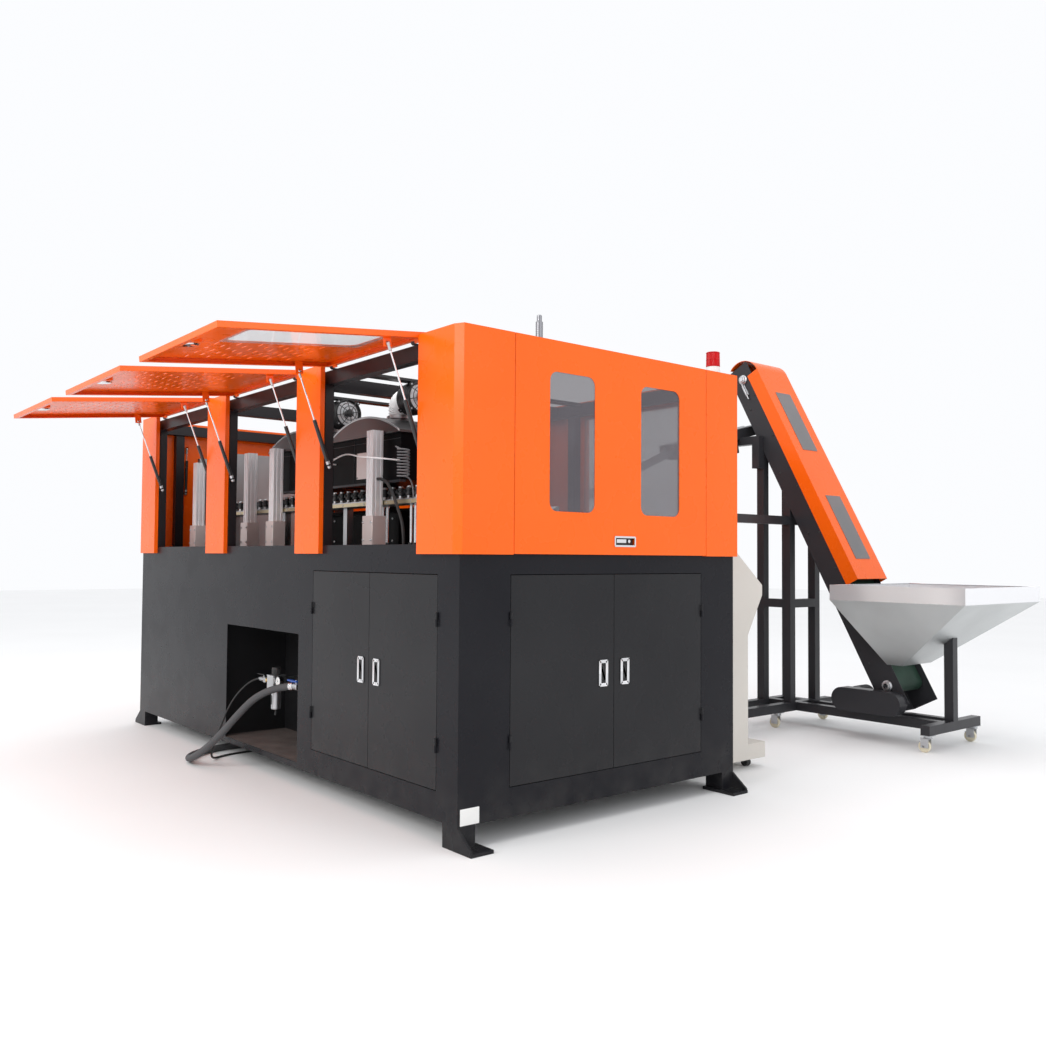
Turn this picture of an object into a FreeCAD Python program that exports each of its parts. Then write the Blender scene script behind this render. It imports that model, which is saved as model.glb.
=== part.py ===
import FreeCAD, Part
import math
import os
import Sketcher

# Blow moulding machine with its console, preform elevator, hopper and sorter.
# Millimetres, +Z up, origin on the floor under the middle of the main machine.
# Lengths run from the near end of the machine, widths from its open front.

doc = FreeCAD.newDocument("blow_moulding_machine")
sheet = doc.addObject("Spreadsheet::Sheet", "dims")

SIZES = {
    # main cabinet
    "base_length": 3860, "base_depth": 1765, "base_bottom": 100, "base_top": 1255,
    "base_wall": 5, "door_gap": 3, "door_thick": 18,
    "front_door_start": 155, "front_door_end": 1272, "front_door_bottom": 220,
    "cabinet_door_top": 1127, "end_door_start": 268, "end_door_end": 1510,
    "end_door_bottom": 225, "knuckle_radius": 6, "knuckle_high": 30, "knuckle_low": 190,
    "recess_start": 1426, "recess_end": 2346, "recess_bottom": 130, "recess_top": 793,
    "recess_deep": 400, "recess_side": 46,
    # welded feet
    "foot_reach": 94, "foot_side": 107, "foot_width": 115, "foot_plate": 15,
    "foot_leg": 90, "foot_wall": 12, "anchor_radius": 9, "anchor_inset": 30,
    "anchor_across": 70,
    # upper frame
    "rail_top": 2140, "rail_high": 70, "rail_front": 22, "rail_deep": 55,
    "post_wide": 60, "post_front": 4, "post_deep": 48, "beam_in": 103,
    "bay_a_start": 287, "bay_a_end": 1176, "bay_b_start": 1438, "bay_b_end": 2368,
    "bay_c_start": 1215, "bay_c_end": 295,
    # covers
    "cover_top": 2165, "cover_bottom": 1212, "cover_proud": 25, "cover_sheet": 3,
    "end_left": 264, "end_right": 1521, "corner_cut": 43, "corner_dip": 20,
    "rear_seam": 3, "rear_b_start": 1545, "rear_pane_start": 385, "rear_pane_end": 1125,
    "rear_pane_low": 1340, "rear_pane_high": 2050,
    # hinged gull and lift doors
    "hinge_in": 8, "hinge_level": 2148, "gull_open": 84, "gull_lip": 25,
    "hinge_inset": 70, "hinge_long": 60, "side_gap": 3,
    "window_far": 493, "window_corner": 42, "pane_thick": 4,
    "grip_long": 140, "grip_high": 49, "grip_low": 38, "grip_deep": 16,
    "grip_proud": 3, "grip_rim": 8, "lift_grip": 667, "slot_first": 250,
    "slot_row": 50, "slot_pitch": 113, "slot_long": 58, "slot_high": 8,
    "pull_long": 120, "pull_wide": 56, "pull_rim": 14, "pull_in": 42,
    "pull_level": 610,
    # gas struts
    "strut_inset": 25, "strut_low_in": 15, "strut_low_level": 1648,
    "strut_high_in": 26, "strut_high_level": 1977, "cylinder_radius": 10,
    "cylinder_long": 240, "rod_radius": 4, "rod_fit": 0.05, "rod_tail": 20,
    "strut_travel": 170, "eye_radius": 8, "eye_wide": 10, "stud_radius": 4,
    "bracket_thick": 4, "bracket_gap": 0.3,
    "lift_window_low": 190, "lift_window_high": 810, "lift_window_a": 197,
    "lift_window_b": 775, "lift_window_wide": 274,
    # ovens, ducts and transfer inside the upper frame
    "oven_start": 930, "oven_pitch": 780, "oven_long": 700, "oven_front": 300,
    "oven_deep": 420, "oven_low": 1590, "oven_high": 1830, "oven_wall": 3,
    "hood_high": 1940, "collar_radius": 62, "collar_high": 25,
    "fan_radius": 85, "fan_wide": 120, "fan_level": 2090, "fan_along": 1140,
    "fan_across": 420, "shaft_radius": 8, "shaft_fit": 0.05,
    "duct_radius": 60, "duct_along": 1440,
    "track_low": 1465, "track_high": 1490, "track_front": 280, "track_deep": 120,
    "track_start": 700, "track_end": 710, "spindle_radius": 9, "spindle_high": 70,
    "spindle_pitch": 76.2, "profile_side": 62, "profile_top": 1845,
    "block_side": 100, "block_top": 1407, "profile_front": 300,
    "clamp_start": 680, "clamp_long": 70, "clamp_gap": 430, "clamp_deep": 620,
    "clamp_front": 330, "clamp_high": 1900, "tie_radius": 22, "tie_fit": 0.05,
    "platen_start": 530, "platen_long": 60,
    # roof pieces
    "silencer_along": 200, "silencer_across": 590, "silencer_radius": 20,
    "silencer_high": 192, "beacon_along": 100, "beacon_across": -40,
    "beacon_radius": 39, "beacon_base": 55, "beacon_high": 107,
    # air supply in the recess
    "air_across": 100, "filter_along": 1890, "filter_side": 76, "filter_level": 490,
    "filter_high": 80, "bowl_radius": 26, "bowl_high": 110, "knob_radius": 24,
    "knob_high": 42, "gauge_radius": 27, "gauge_deep": 22, "valve_along": 1640,
    "valve_radius": 19, "valve_level": 490, "hose_radius": 20, "drain_radius": 6,
    # console
    "console_start": 250, "console_end": 780, "console_back": 165,
    "console_foot": 609, "console_column": 452, "console_knee": 765,
    "console_nose": 585, "console_nose_low": 991, "console_nose_high": 1049,
    "console_crest": 347, "console_top": 1240, "console_floor": 55,
    "console_plinth": 144, "castor_radius": 25, "castor_wide": 36,
    # preform elevator, in its own frame: down the belt from the head shaft
    "incline": 61.9, "head_along": 1366, "head_level": 2558, "trough_near": 1855,
    "trough_far": 2221, "trough_long": 2640, "trough_back": 100, "trough_front": 88,
    "trough_sheet": 3, "trough_head": 110, "cover_long": 1765, "cover_low": 47,
    "cover_high": 145, "hood_radius": 145, "hood_turn": 95,
    "pane_wide": 110, "pane_long": 560, "pane_first": 300, "pane_second": 1190,
    "belt_gap": 6, "belt_thick": 6, "drum_radius": 45, "flight_high": 40,
    "flight_pitch": 295, "belt_side": 12, "drum_shaft": 15, "tail_down": 2480,
    # hopper
    "hopper_near": 1535, "hopper_far": 2545, "hopper_front": -485, "hopper_back": 420,
    "hopper_rim": 1035, "hopper_fold": 935, "hopper_low": 510, "mouth_front": 90,
    "mouth_back": 200, "hopper_sheet": 3,
    # elevator stand
    "bar_side": 60, "bar_low": 110, "tee_near": 1705, "tee_far": 2372,
    "tee_front": -170, "tee_rear": 950, "rail_near": 1925, "rail_far": 2091,
    "stand_front": 950, "stand_rear": 1180, "stand_left": 1185, "stand_tops": 1560,
    "stand_mid": 850, "stand_high": 1450, "wheel_radius": 38, "wheel_wide": 28,
    # drive guard, sorter and slide
    "guard_start": 60, "guard_end": 560, "guard_low": 185, "guard_high": 340,
    "guard_wide": 90, "roller_radius": 30, "roller_long": 900, "roller_along": 38,
    "roller_apart": 92, "roller_level": 1995, "roller_start": 1135,
    "roller_lean": 13.5,
    "sorter_half": 90, "sorter_arm": 1975, "sorter_arm_right": 2112,
    "post_reach_front": 1700, "post_reach_rear": 2120, "hopper_post_top": 800,
    "slide_along": 1402, "slide_apart": 70, "slide_deep": 40,
    "slide_low_across": -205, "slide_low_level": 1370, "slide_high_across": 1108.5,
    "slide_high_level": 1936, "slide_room": 30,
    "duct_bend": 80, "coupling_long": 60,
}


class Size:
    """A sheet value or a sum of them: its number and its expression."""

    def __init__(self, value, text):
        self.value = float(value)
        self.text = text

    def __add__(self, other):
        other = size(other)
        return Size(self.value + other.value, "(%s + %s)" % (self.text, other.text))

    def __sub__(self, other):
        other = size(other)
        return Size(self.value - other.value, "(%s - %s)" % (self.text, other.text))

    def __mul__(self, other):
        other = size(other)
        return Size(self.value * other.value, "(%s * %s)" % (self.text, other.text))

    def __truediv__(self, other):
        other = size(other)
        return Size(self.value / other.value, "(%s / %s)" % (self.text, other.text))

    def __radd__(self, other):
        return size(other) + self

    def __rsub__(self, other):
        return size(other) - self

    def __rmul__(self, other):
        return size(other) * self

    def __neg__(self):
        return size(0) - self


class Table:
    pass


D = Table()
for row, (word, number) in enumerate(SIZES.items(), start=1):
    sheet.set("A%d" % row, word)
    sheet.set("B%d" % row, str(number))
    sheet.setAlias("B%d" % row, word)
    setattr(D, word, Size(number, "dims." + word))
doc.recompute()


def size(value):
    if isinstance(value, Size):
        return value
    return Size(value, "(%s)" % repr(value) if value < 0 else repr(value))


# These are given from the rear face of the machine, and these from its far end.
for word in ("console_back", "console_foot", "console_column", "console_nose",
             "console_crest", "trough_near", "trough_far", "hopper_near",
             "hopper_far", "tee_near", "tee_far", "rail_near", "rail_far",
             "stand_left", "roller_start", "slide_low_across", "slide_high_across",
             "beacon_across"):
    setattr(D, word, D.base_depth + getattr(D, word))
for word in ("bay_c_start", "bay_c_end", "clamp_start", "platen_start", "track_end"):
    setattr(D, word, D.base_length - getattr(D, word))
D.roller_along = D.slide_along + D.roller_along


def sine(angle):
    return Size(math.sin(math.radians(angle.value)), "sin(%s)" % angle.text)


def cosine(angle):
    return Size(math.cos(math.radians(angle.value)), "cos(%s)" % angle.text)


def arctan(ratio):
    return Size(math.degrees(math.atan(ratio.value)), "(atan(%s) / 1 deg)" % ratio.text)


def root(term):
    return Size(math.sqrt(term.value), "sqrt(%s)" % term.text)


def along(distance):
    """Position on X of a distance from the near end of the machine."""
    return D.base_length / 2 - distance


def across(distance):
    """Position on Y of a distance from the front of the machine."""
    return size(distance) - D.base_depth / 2


def bind(item, name, value):
    value = size(value)
    item.setExpression(name, value.text)


def place(item, x, y, z, axis=None, angle=None):
    if axis is not None:
        item.Placement = FreeCAD.Placement(
            FreeCAD.Vector(0, 0, 0),
            FreeCAD.Rotation(FreeCAD.Vector(*axis), size(angle).value))
        bind(item, "Placement.Rotation.Angle", angle)
    bind(item, "Placement.Base.x", x)
    bind(item, "Placement.Base.y", y)
    bind(item, "Placement.Base.z", z)
    return item


def block(tag, x0, x1, y0, y1, z0, z1):
    """Box between two corners, given on X, Y and Z."""
    item = doc.addObject("Part::Box", tag)
    bind(item, "Length", size(x1) - x0)
    bind(item, "Width", size(y1) - y0)
    bind(item, "Height", size(z1) - z0)
    return place(item, x0, y0, z0)


def slab(tag, l0, l1, w0, w1, z0, z1):
    """Box between two lengths, two widths and two heights of the machine."""
    return block(tag, along(l1), along(l0), across(w0), across(w1), z0, z1)


def bar(tag, axis, x, y, z, radius, long):
    """Round bar from its end with the lowest X, Y or Z."""
    item = doc.addObject("Part::Cylinder", tag)
    bind(item, "Radius", radius)
    bind(item, "Height", long)
    if axis == "X":
        return place(item, x, y, z, (0, 1, 0), 90)
    if axis == "Y":
        return place(item, x, y, z, (1, 0, 0), -90)
    return place(item, x, y, z)


def prism(tag, axis, x, y, z, radius, long, sides=8):
    """Small many-sided bar for knuckles, eyes and studs."""
    item = doc.addObject("Part::Prism", tag)
    item.Polygon = sides
    bind(item, "Circumradius", radius)
    bind(item, "Height", long)
    if axis == "X":
        return place(item, x, y, z, (0, 1, 0), 90)
    if axis == "Y":
        return place(item, x, y, z, (1, 0, 0), -90)
    return place(item, x, y, z)


def fuse(tag, items):
    item = doc.addObject("Part::MultiFuse", tag)
    item.Shapes = items
    item.Refine = True
    return item


def gather(tag, items):
    item = doc.addObject("Part::Compound", tag)
    item.Links = items
    return item


def carve(tag, base, tools):
    item = doc.addObject("Part::Cut", tag)
    item.Base = base
    item.Tool = tools[0] if len(tools) == 1 else fuse(tag + "_tools", tools)
    item.Refine = True
    return item


def outline(tag, plane, points, depth):
    """Body padded from a closed outline of sheet-driven points on one plane."""
    body = doc.addObject("PartDesign::Body", tag)
    sketch = body.newObject("Sketcher::SketchObject", tag + "_outline")
    for feature in body.Origin.OriginFeatures:
        if feature.Role == plane:
            sketch.AttachmentSupport = (feature, [""])
    sketch.MapMode = "FlatFace"
    corners = [(size(a), size(b)) for a, b in points]
    count = len(corners)
    for index in range(count):
        a, b = corners[index]
        c, d = corners[(index + 1) % count]
        sketch.addGeometry(Part.LineSegment(
            FreeCAD.Vector(a.value, b.value, 0), FreeCAD.Vector(c.value, d.value, 0)), False)
    for index in range(count):
        sketch.addConstraint(
            Sketcher.Constraint("Coincident", index, 2, (index + 1) % count, 1))
    for index in range(count):
        a, b = corners[index]
        for kind, term in (("DistanceX", a), ("DistanceY", b)):
            mark = sketch.addConstraint(
                Sketcher.Constraint(kind, -1, 1, index, 1, term.value))
            sketch.setExpression("Constraints[%d]" % mark, term.text)
    pad = body.newObject("PartDesign::Pad", tag + "_pad")
    pad.Profile = sketch
    bind(pad, "Length", depth)
    body.Tip = pad
    return body


def plan(tag, points, z0, z1):
    """Outline of lengths and widths, padded upwards."""
    body = outline(tag, "XY_Plane", [(along(a), across(b)) for a, b in points],
                   size(z1) - z0)
    return place(body, 0, 0, z0)


def section(tag, points, l0, l1):
    """Outline of widths and heights, padded along the machine."""
    body = outline(tag, "YZ_Plane", [(across(a), b) for a, b in points], size(l1) - l0)
    return place(body, along(l1), 0, 0)


parts = {}


def node(name, item):
    item.Label = name
    parts[name] = item
    return item


# ---------------------------------------------------------------- base cabinet

def mirror_long(value, far):
    return D.base_length - value if far else size(value)


def mirror_wide(value, back):
    return D.base_depth - value if back else size(value)


def corner_slab(tag, far, back, l0, l1, w0, w1, z0, z1):
    a, b = mirror_long(l0, far), mirror_long(l1, far)
    c, d = mirror_wide(w0, back), mirror_wide(w1, back)
    if far:
        a, b = b, a
    if back:
        c, d = d, c
    return slab(tag, a, b, c, d, z0, z1)


def foot(tag, far, back):
    """Welded foot: leg, floor plate with an anchor hole and a gusset."""
    leg = corner_slab(tag + "_leg", far, back, 0, D.foot_side, 0, D.foot_leg,
                      D.foot_plate, D.base_bottom)
    plate = corner_slab(tag + "_plate", far, back, -D.foot_reach, D.foot_side, 0,
                        D.foot_width, 0, D.foot_plate)
    edge = -D.foot_reach * 0.96
    points = [(mirror_long(0, far), D.foot_plate - 1),
              (mirror_long(edge, far), D.foot_plate - 1),
              (mirror_long(edge, far), D.foot_plate + 8),
              (mirror_long(0, far), D.base_bottom - 6)]
    gusset = outline(tag + "_gusset", "XZ_Plane",
                     [(along(a), b) for a, b in points], D.foot_wall)
    rear = D.base_depth if back else D.foot_wall
    place(gusset, 0, across(rear), 0)
    hole = bar(tag + "_hole", "Z", along(mirror_long(-D.anchor_inset, far)),
               across(mirror_wide(D.anchor_across, back)), -1, D.anchor_radius,
               D.foot_plate + 2)
    return [leg, carve(tag + "_drilled", plate, [hole]), gusset]


shell = slab("shell", 0, D.base_length, 0, D.base_depth, D.base_bottom, D.base_top)
hollow = slab("shell_hollow", D.base_wall, D.base_length - D.base_wall, D.base_wall,
              D.base_depth - D.base_wall, D.base_bottom + D.base_wall,
              D.base_top - D.base_wall)
front_cut = slab("front_doorway", D.front_door_start, D.front_door_end, -1,
                 D.base_wall + 1, D.front_door_bottom, D.cabinet_door_top)
end_cut = slab("end_doorway", -1, D.base_wall + 1, D.end_door_start, D.end_door_end,
               D.end_door_bottom, D.cabinet_door_top)
recess_cut = slab("recess_mouth", D.recess_start, D.recess_end, -1, D.base_wall + 1,
                  D.recess_bottom, D.recess_top)
open_shell = carve("open_shell", shell, [hollow, front_cut, end_cut, recess_cut])
liner_outer = slab("liner_outer", D.recess_start - D.recess_side - D.base_wall,
                   D.recess_end + D.recess_side + D.base_wall, D.base_wall,
                   D.recess_deep + D.base_wall, D.base_bottom + D.base_wall,
                   D.recess_top + D.recess_side)
liner_inner = slab("liner_inner", D.recess_start - D.recess_side,
                   D.recess_end + D.recess_side, -2, D.recess_deep, D.recess_bottom,
                   D.recess_top + D.recess_side - D.base_wall)
node("recess_box", carve("recess_liner", liner_outer, [liner_inner]))

base_items = [open_shell]
for tag, far, back in (("foot_a", False, False), ("foot_b", False, True),
                       ("foot_c", True, False), ("foot_d", True, True)):
    base_items += foot(tag, far, back)

knuckle_out = D.knuckle_radius + 0.3
door_hinges = (
    ("front_a", "front", D.front_door_start, D.front_door_bottom),
    ("front_b", "front", D.front_door_end, D.front_door_bottom),
    ("end_a", "end", D.end_door_start, D.end_door_bottom),
    ("end_b", "end", D.end_door_end, D.end_door_bottom),
)


def knuckle_levels(bottom):
    low = bottom + D.knuckle_low
    high = D.cabinet_door_top - D.knuckle_low
    return (low, high)


def knuckle(tag, side, edge, level, lift):
    """Half of a cabinet hinge, standing just proud of the face."""
    if side == "front":
        x, y = along(edge), across(-knuckle_out)
    else:
        x, y = along(-knuckle_out), across(edge)
    return prism(tag, "Z", x, y, level + lift, D.knuckle_radius, D.knuckle_high)


for tag, side, edge, bottom in door_hinges:
    for index, level in enumerate(knuckle_levels(bottom)):
        base_items.append(knuckle("%s_fixed_%d" % (tag, index), side, edge, level,
                                  -D.knuckle_high - 0.3))
        away = -12 if tag.endswith("_a") else 12
        near, wide_of = (edge + away, edge) if away < 0 else (edge, edge + away)
        low = level - D.knuckle_high + 1
        if side == "front":
            base_items.append(slab("%s_wing_%d" % (tag, index), near, wide_of, -3, 1,
                                   low, low + D.knuckle_high - 3))
        else:
            base_items.append(slab("%s_wing_%d" % (tag, index), -3, 1, near, wide_of,
                                   low, low + D.knuckle_high - 3))
node("base_cabinet", fuse("base_cabinet", base_items))


def door_piece(tag, side, start, stop, d0, d1, z0, z1):
    """Box on the front or the near end, from its reach along and its depth."""
    if side == "front":
        return slab(tag, start, stop, d0, d1, z0, z1)
    return slab(tag, d0, d1, start, stop, z0, z1)


def cabinet_door(name, tag, side, edge, other, bottom):
    """Flush cabinet door between its hinge edge and the middle of the pair."""
    low, high = bottom + D.door_gap, D.cabinet_door_top - D.door_gap
    if edge.value < other.value:
        start, stop = edge + D.door_gap, other - D.door_gap / 2
        leaf_from, leaf_to = edge, edge + D.door_gap + 12
    else:
        start, stop = other + D.door_gap / 2, edge - D.door_gap
        leaf_from, leaf_to = edge - D.door_gap - 12, edge
    if edge.value < other.value:
        pull = stop - D.pull_in - D.pull_wide
    else:
        pull = start + D.pull_in
    door = door_piece(name + "_leaf", side, start, stop, 0, D.door_thick, low, high)
    plate = door_piece(name + "_pull", side, pull, pull + D.pull_wide, -3, 1,
                       D.pull_level, D.pull_level + D.pull_long)
    room = door_piece(name + "_pull_room", side, pull + D.pull_rim,
                      pull + D.pull_wide - D.pull_rim, -4, 13,
                      D.pull_level + D.pull_rim * 2,
                      D.pull_level + D.pull_long - D.pull_rim * 2)
    items = [carve(name + "_with_pull", fuse(name + "_plated", [door, plate]), [room])]
    for index, level in enumerate(knuckle_levels(bottom)):
        items.append(knuckle("%s_moving_%d" % (name, index), side, edge, level, 0))
        flap = (level + 1, level + D.knuckle_high - 1)
        if side == "front":
            items.append(slab("%s_flap_%d" % (name, index), leaf_from, leaf_to,
                              -3, 0.5, *flap))
        else:
            items.append(slab("%s_flap_%d" % (name, index), -3, 0.5, leaf_from,
                              leaf_to, *flap))
    node(name, fuse(name, items))


front_middle = (D.front_door_start + D.front_door_end) / 2
end_middle = (D.end_door_start + D.end_door_end) / 2
cabinet_door("front_door_a", "front_a", "front", D.front_door_start, front_middle,
             D.front_door_bottom)
cabinet_door("front_door_b", "front_b", "front", D.front_door_end, front_middle,
             D.front_door_bottom)
cabinet_door("end_door_a", "end_a", "end", D.end_door_start, end_middle,
             D.end_door_bottom)
cabinet_door("end_door_b", "end_b", "end", D.end_door_end, end_middle,
             D.end_door_bottom)

# ----------------------------------------------------------------- upper frame

bays = ((D.bay_a_start, D.bay_a_end), (D.bay_b_start, D.bay_b_end),
        (D.bay_c_start, D.bay_c_end))
rail_bottom = D.rail_top - D.rail_high


rear_bays = (bays[0], (D.rear_b_start, D.bay_b_end), bays[2])


def frame_posts(tag, back):
    items = []
    for index, (start, stop) in enumerate(rear_bays if back else bays):
        for side, l0, l1 in (("a", start - D.post_wide, start),
                             ("b", stop, stop + D.post_wide)):
            items.append(corner_slab(
                "%s_post_%d%s" % (tag, index, side), False, back, l0, l1,
                D.post_front, D.post_front + D.post_deep, D.base_top, rail_bottom + 1))
    return items


def top_rail(tag, back):
    return corner_slab(tag, False, back, 5, D.base_length - 5, D.rail_front,
                       D.rail_front + D.rail_deep, rail_bottom, D.rail_top)


def gull_hinge_fixed(tag, start, stop):
    """Frame halves of the two hinges over one bay."""
    items = []
    for index, centre in enumerate((start + D.side_gap + D.hinge_inset,
                                    stop - D.side_gap - D.hinge_inset)):
        l0 = centre + 0.3
        l1 = centre + D.hinge_long / 2
        items.append(prism("%s_knuckle_%d" % (tag, index), "X", along(l1),
                           across(D.hinge_in), D.hinge_level, D.knuckle_radius, l1 - l0))
        items.append(slab("%s_tab_%d" % (tag, index), l0, l1, D.hinge_in,
                          D.rail_front + 12, D.rail_top - 1, D.rail_top + 3))
    return items


front_items = frame_posts("front", False) + [top_rail("front_rail", False)]
for index, (start, stop) in enumerate(bays):
    front_items += gull_hinge_fixed("bay_%d" % index, start, stop)
    for side, edge, away in (("a", start, 1), ("b", stop, -1)):
        reach = D.strut_inset - D.eye_wide / 2 - 0.3
        l0, l1 = (edge - 2, edge + reach) if away > 0 else (edge - reach, edge + 2)
        front_items.append(prism("low_stud_%d%s" % (index, side), "X", along(l1),
                                 across(D.strut_low_in), D.strut_low_level,
                                 D.stud_radius, l1 - l0))
node("front_frame", fuse("front_frame", front_items))
node("rear_frame", fuse("rear_frame", frame_posts("rear", True)
                        + [top_rail("rear_rail", True)]))

# End frames: two posts, a top rail between the long rails, hinges and studs.


def end_slab(tag, far, w0, w1, d0, d1, z0, z1):
    """Box given by widths and by depths in from one end."""
    return corner_slab(tag, far, False, d0, d1, w0, w1, z0, z1)


def end_prism(tag, far, w0, w1, depth, level, radius):
    return prism(tag, "Y", along(mirror_long(depth, far)), across(w0), level, radius,
                 size(w1) - w0)


def end_frame(name, far):
    rail_w0 = D.rail_front + D.rail_deep
    items = [end_slab(name + "_rail", far, rail_w0, D.base_depth - rail_w0,
                      D.rail_front, D.rail_front + D.rail_deep, rail_bottom,
                      D.rail_top)]
    for side, w0, w1 in (("a", D.end_left - D.post_wide, D.end_left),
                         ("b", D.end_right, D.end_right + D.post_wide)):
        items.append(end_slab("%s_post_%s" % (name, side), far, w0, w1, D.post_front,
                              D.post_front + D.post_deep, D.base_top,
                              rail_bottom + 1))
    for index, centre in enumerate((D.end_left + D.side_gap + D.hinge_inset,
                                    D.end_right - D.side_gap - D.hinge_inset)):
        w0, w1 = centre - D.hinge_long / 2, centre - 0.3
        if far:
            w0, w1 = centre + 0.3, centre + D.hinge_long / 2
        items.append(end_prism("%s_knuckle_%d" % (name, index), far, w0, w1,
                               D.hinge_in, D.hinge_level, D.knuckle_radius))
        items.append(end_slab("%s_tab_%d" % (name, index), far, w0, w1, D.hinge_in,
                              D.rail_front + 12, D.rail_top - 1, D.rail_top + 3))
    reach = D.strut_inset - D.eye_wide / 2 - 0.3
    for side, w0, w1 in (("a", D.end_left - 2, D.end_left + reach),
                         ("b", D.end_right - reach, D.end_right + 2)):
        items.append(end_prism("%s_stud_%s" % (name, side), far, w0, w1,
                               D.strut_low_in, D.strut_low_level, D.stud_radius))
    return fuse(name, items)


end_frames = [end_frame("near_frame", False), end_frame("far_frame", True)]

beams = []
for index, start in enumerate((D.bay_b_start, D.bay_c_start)):
    middle = start - D.beam_in
    w0 = D.rail_front + D.rail_deep
    beams.append(slab("beam_%d" % index, middle - D.post_wide / 2,
                      middle + D.post_wide / 2, w0, D.base_depth - w0, rail_bottom,
                      D.rail_top))
node("cross_frames", gather("cross_frames", end_frames + beams))

# ---------------------------------------------------------------------- covers

proud = D.cover_proud


def corner_points(far, back, long_edge, wide_edge):
    points = [(long_edge, 0), (long_edge, -proud), (D.corner_cut - proud, -proud),
              (-proud, D.corner_dip - proud), (-proud, wide_edge), (0, wide_edge),
              (0, 0)]
    return [(mirror_long(a, far), mirror_wide(b, back)) for a, b in points]


wide_right = D.base_depth - D.end_right
far_edge = D.base_length - D.bay_c_end
near_front = plan("near_corner_front", corner_points(False, False, D.bay_a_start,
                  D.end_left), D.cover_bottom, D.cover_top)
near_back = plan("near_corner_back", corner_points(False, True, D.bay_a_start,
                 wide_right), D.cover_bottom, D.cover_top)
far_front = plan("far_corner_front", corner_points(True, False, far_edge, D.end_left),
                 D.cover_bottom, D.cover_top)
far_back = plan("far_corner_back", corner_points(True, True, far_edge, wide_right),
                D.cover_bottom, D.cover_top)
pillars = [near_front, near_back, far_front, far_back]
for index, (l0, l1) in enumerate(((D.bay_a_end, D.bay_b_start),
                                  (D.bay_b_end, D.bay_c_start))):
    pillars.append(slab("pillar_%d" % index, l0, l1, -proud, 0, D.cover_bottom,
                        D.cover_top))

rear_items = []
rear_starts = (D.bay_a_start, D.rear_b_start,
               (D.bay_b_end + D.bay_c_start) / 2, D.bay_c_end)
for index in range(3):
    panel = slab("rear_%d" % index, rear_starts[index] + D.rear_seam,
                 rear_starts[index + 1] - D.rear_seam, D.base_depth,
                 D.base_depth + proud, D.cover_bottom, D.cover_top)
    if index == 0:
        rise = (D.slide_high_level - D.slide_low_level) / (
            D.slide_high_across - D.slide_low_across)
        level = D.slide_low_level + rise * (D.base_depth - D.slide_low_across)
        panel = carve("rear_slotted", panel, [slab(
            "rear_window_hole", D.rear_pane_start, D.rear_pane_end, D.base_depth - 1,
            D.base_depth + proud + 1, D.rear_pane_low, D.rear_pane_high), slab(
            "slide_slot", D.slide_along - D.slide_room,
            D.slide_along + D.slide_apart + D.slide_room, D.base_depth - 1,
            D.base_depth + proud + 1, level - D.slide_room,
            level + D.slide_deep + D.slide_room)])
    rear_items.append(panel)
node("fixed_covers", gather("fixed_covers", pillars + rear_items))

# ------------------------------------------------- gull doors, lift doors, struts

leaf_top = D.cover_top - D.hinge_level
leaf_low = D.cover_bottom + 3 - D.hinge_level
skin_out = -proud - D.hinge_in
skin_in = -D.hinge_in


def rounded(tag, x0, x1, y0, y1, z0, z1, corner):
    """Upright opening with rounded corners, cut through along Y."""
    items = [block(tag + "_tall", x0 + corner, x1 - corner, y0, y1, z0, z1),
             block(tag + "_wide", x0, x1, y0, y1, z0 + corner, z1 - corner)]
    for index, (x, z) in enumerate(((x0 + corner, z0 + corner),
                                    (x1 - corner, z0 + corner),
                                    (x0 + corner, z1 - corner),
                                    (x1 - corner, z1 - corner))):
        items.append(bar("%s_corner_%d" % (tag, index), "Y", x, y0, z, corner,
                         size(y1) - y0))
    return fuse(tag, items)


def leaf_slots(tag, first, even, odd):
    """Eleven rows of air slots, every second row set over by half a pitch."""
    items = []
    for row in range(11):
        level = -D.slot_first - D.slot_row * row
        many, start = (odd, first + D.slot_pitch / 2) if row % 2 else (even, first)
        for index in range(many):
            x0 = start + D.slot_pitch * index
            items.append(block("%s_%d_%d" % (tag, row, index), x0, x0 + D.slot_long,
                               skin_out - 1, skin_out + D.cover_sheet + 1, level,
                               level + D.slot_high))
    return gather(tag, items)


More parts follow.
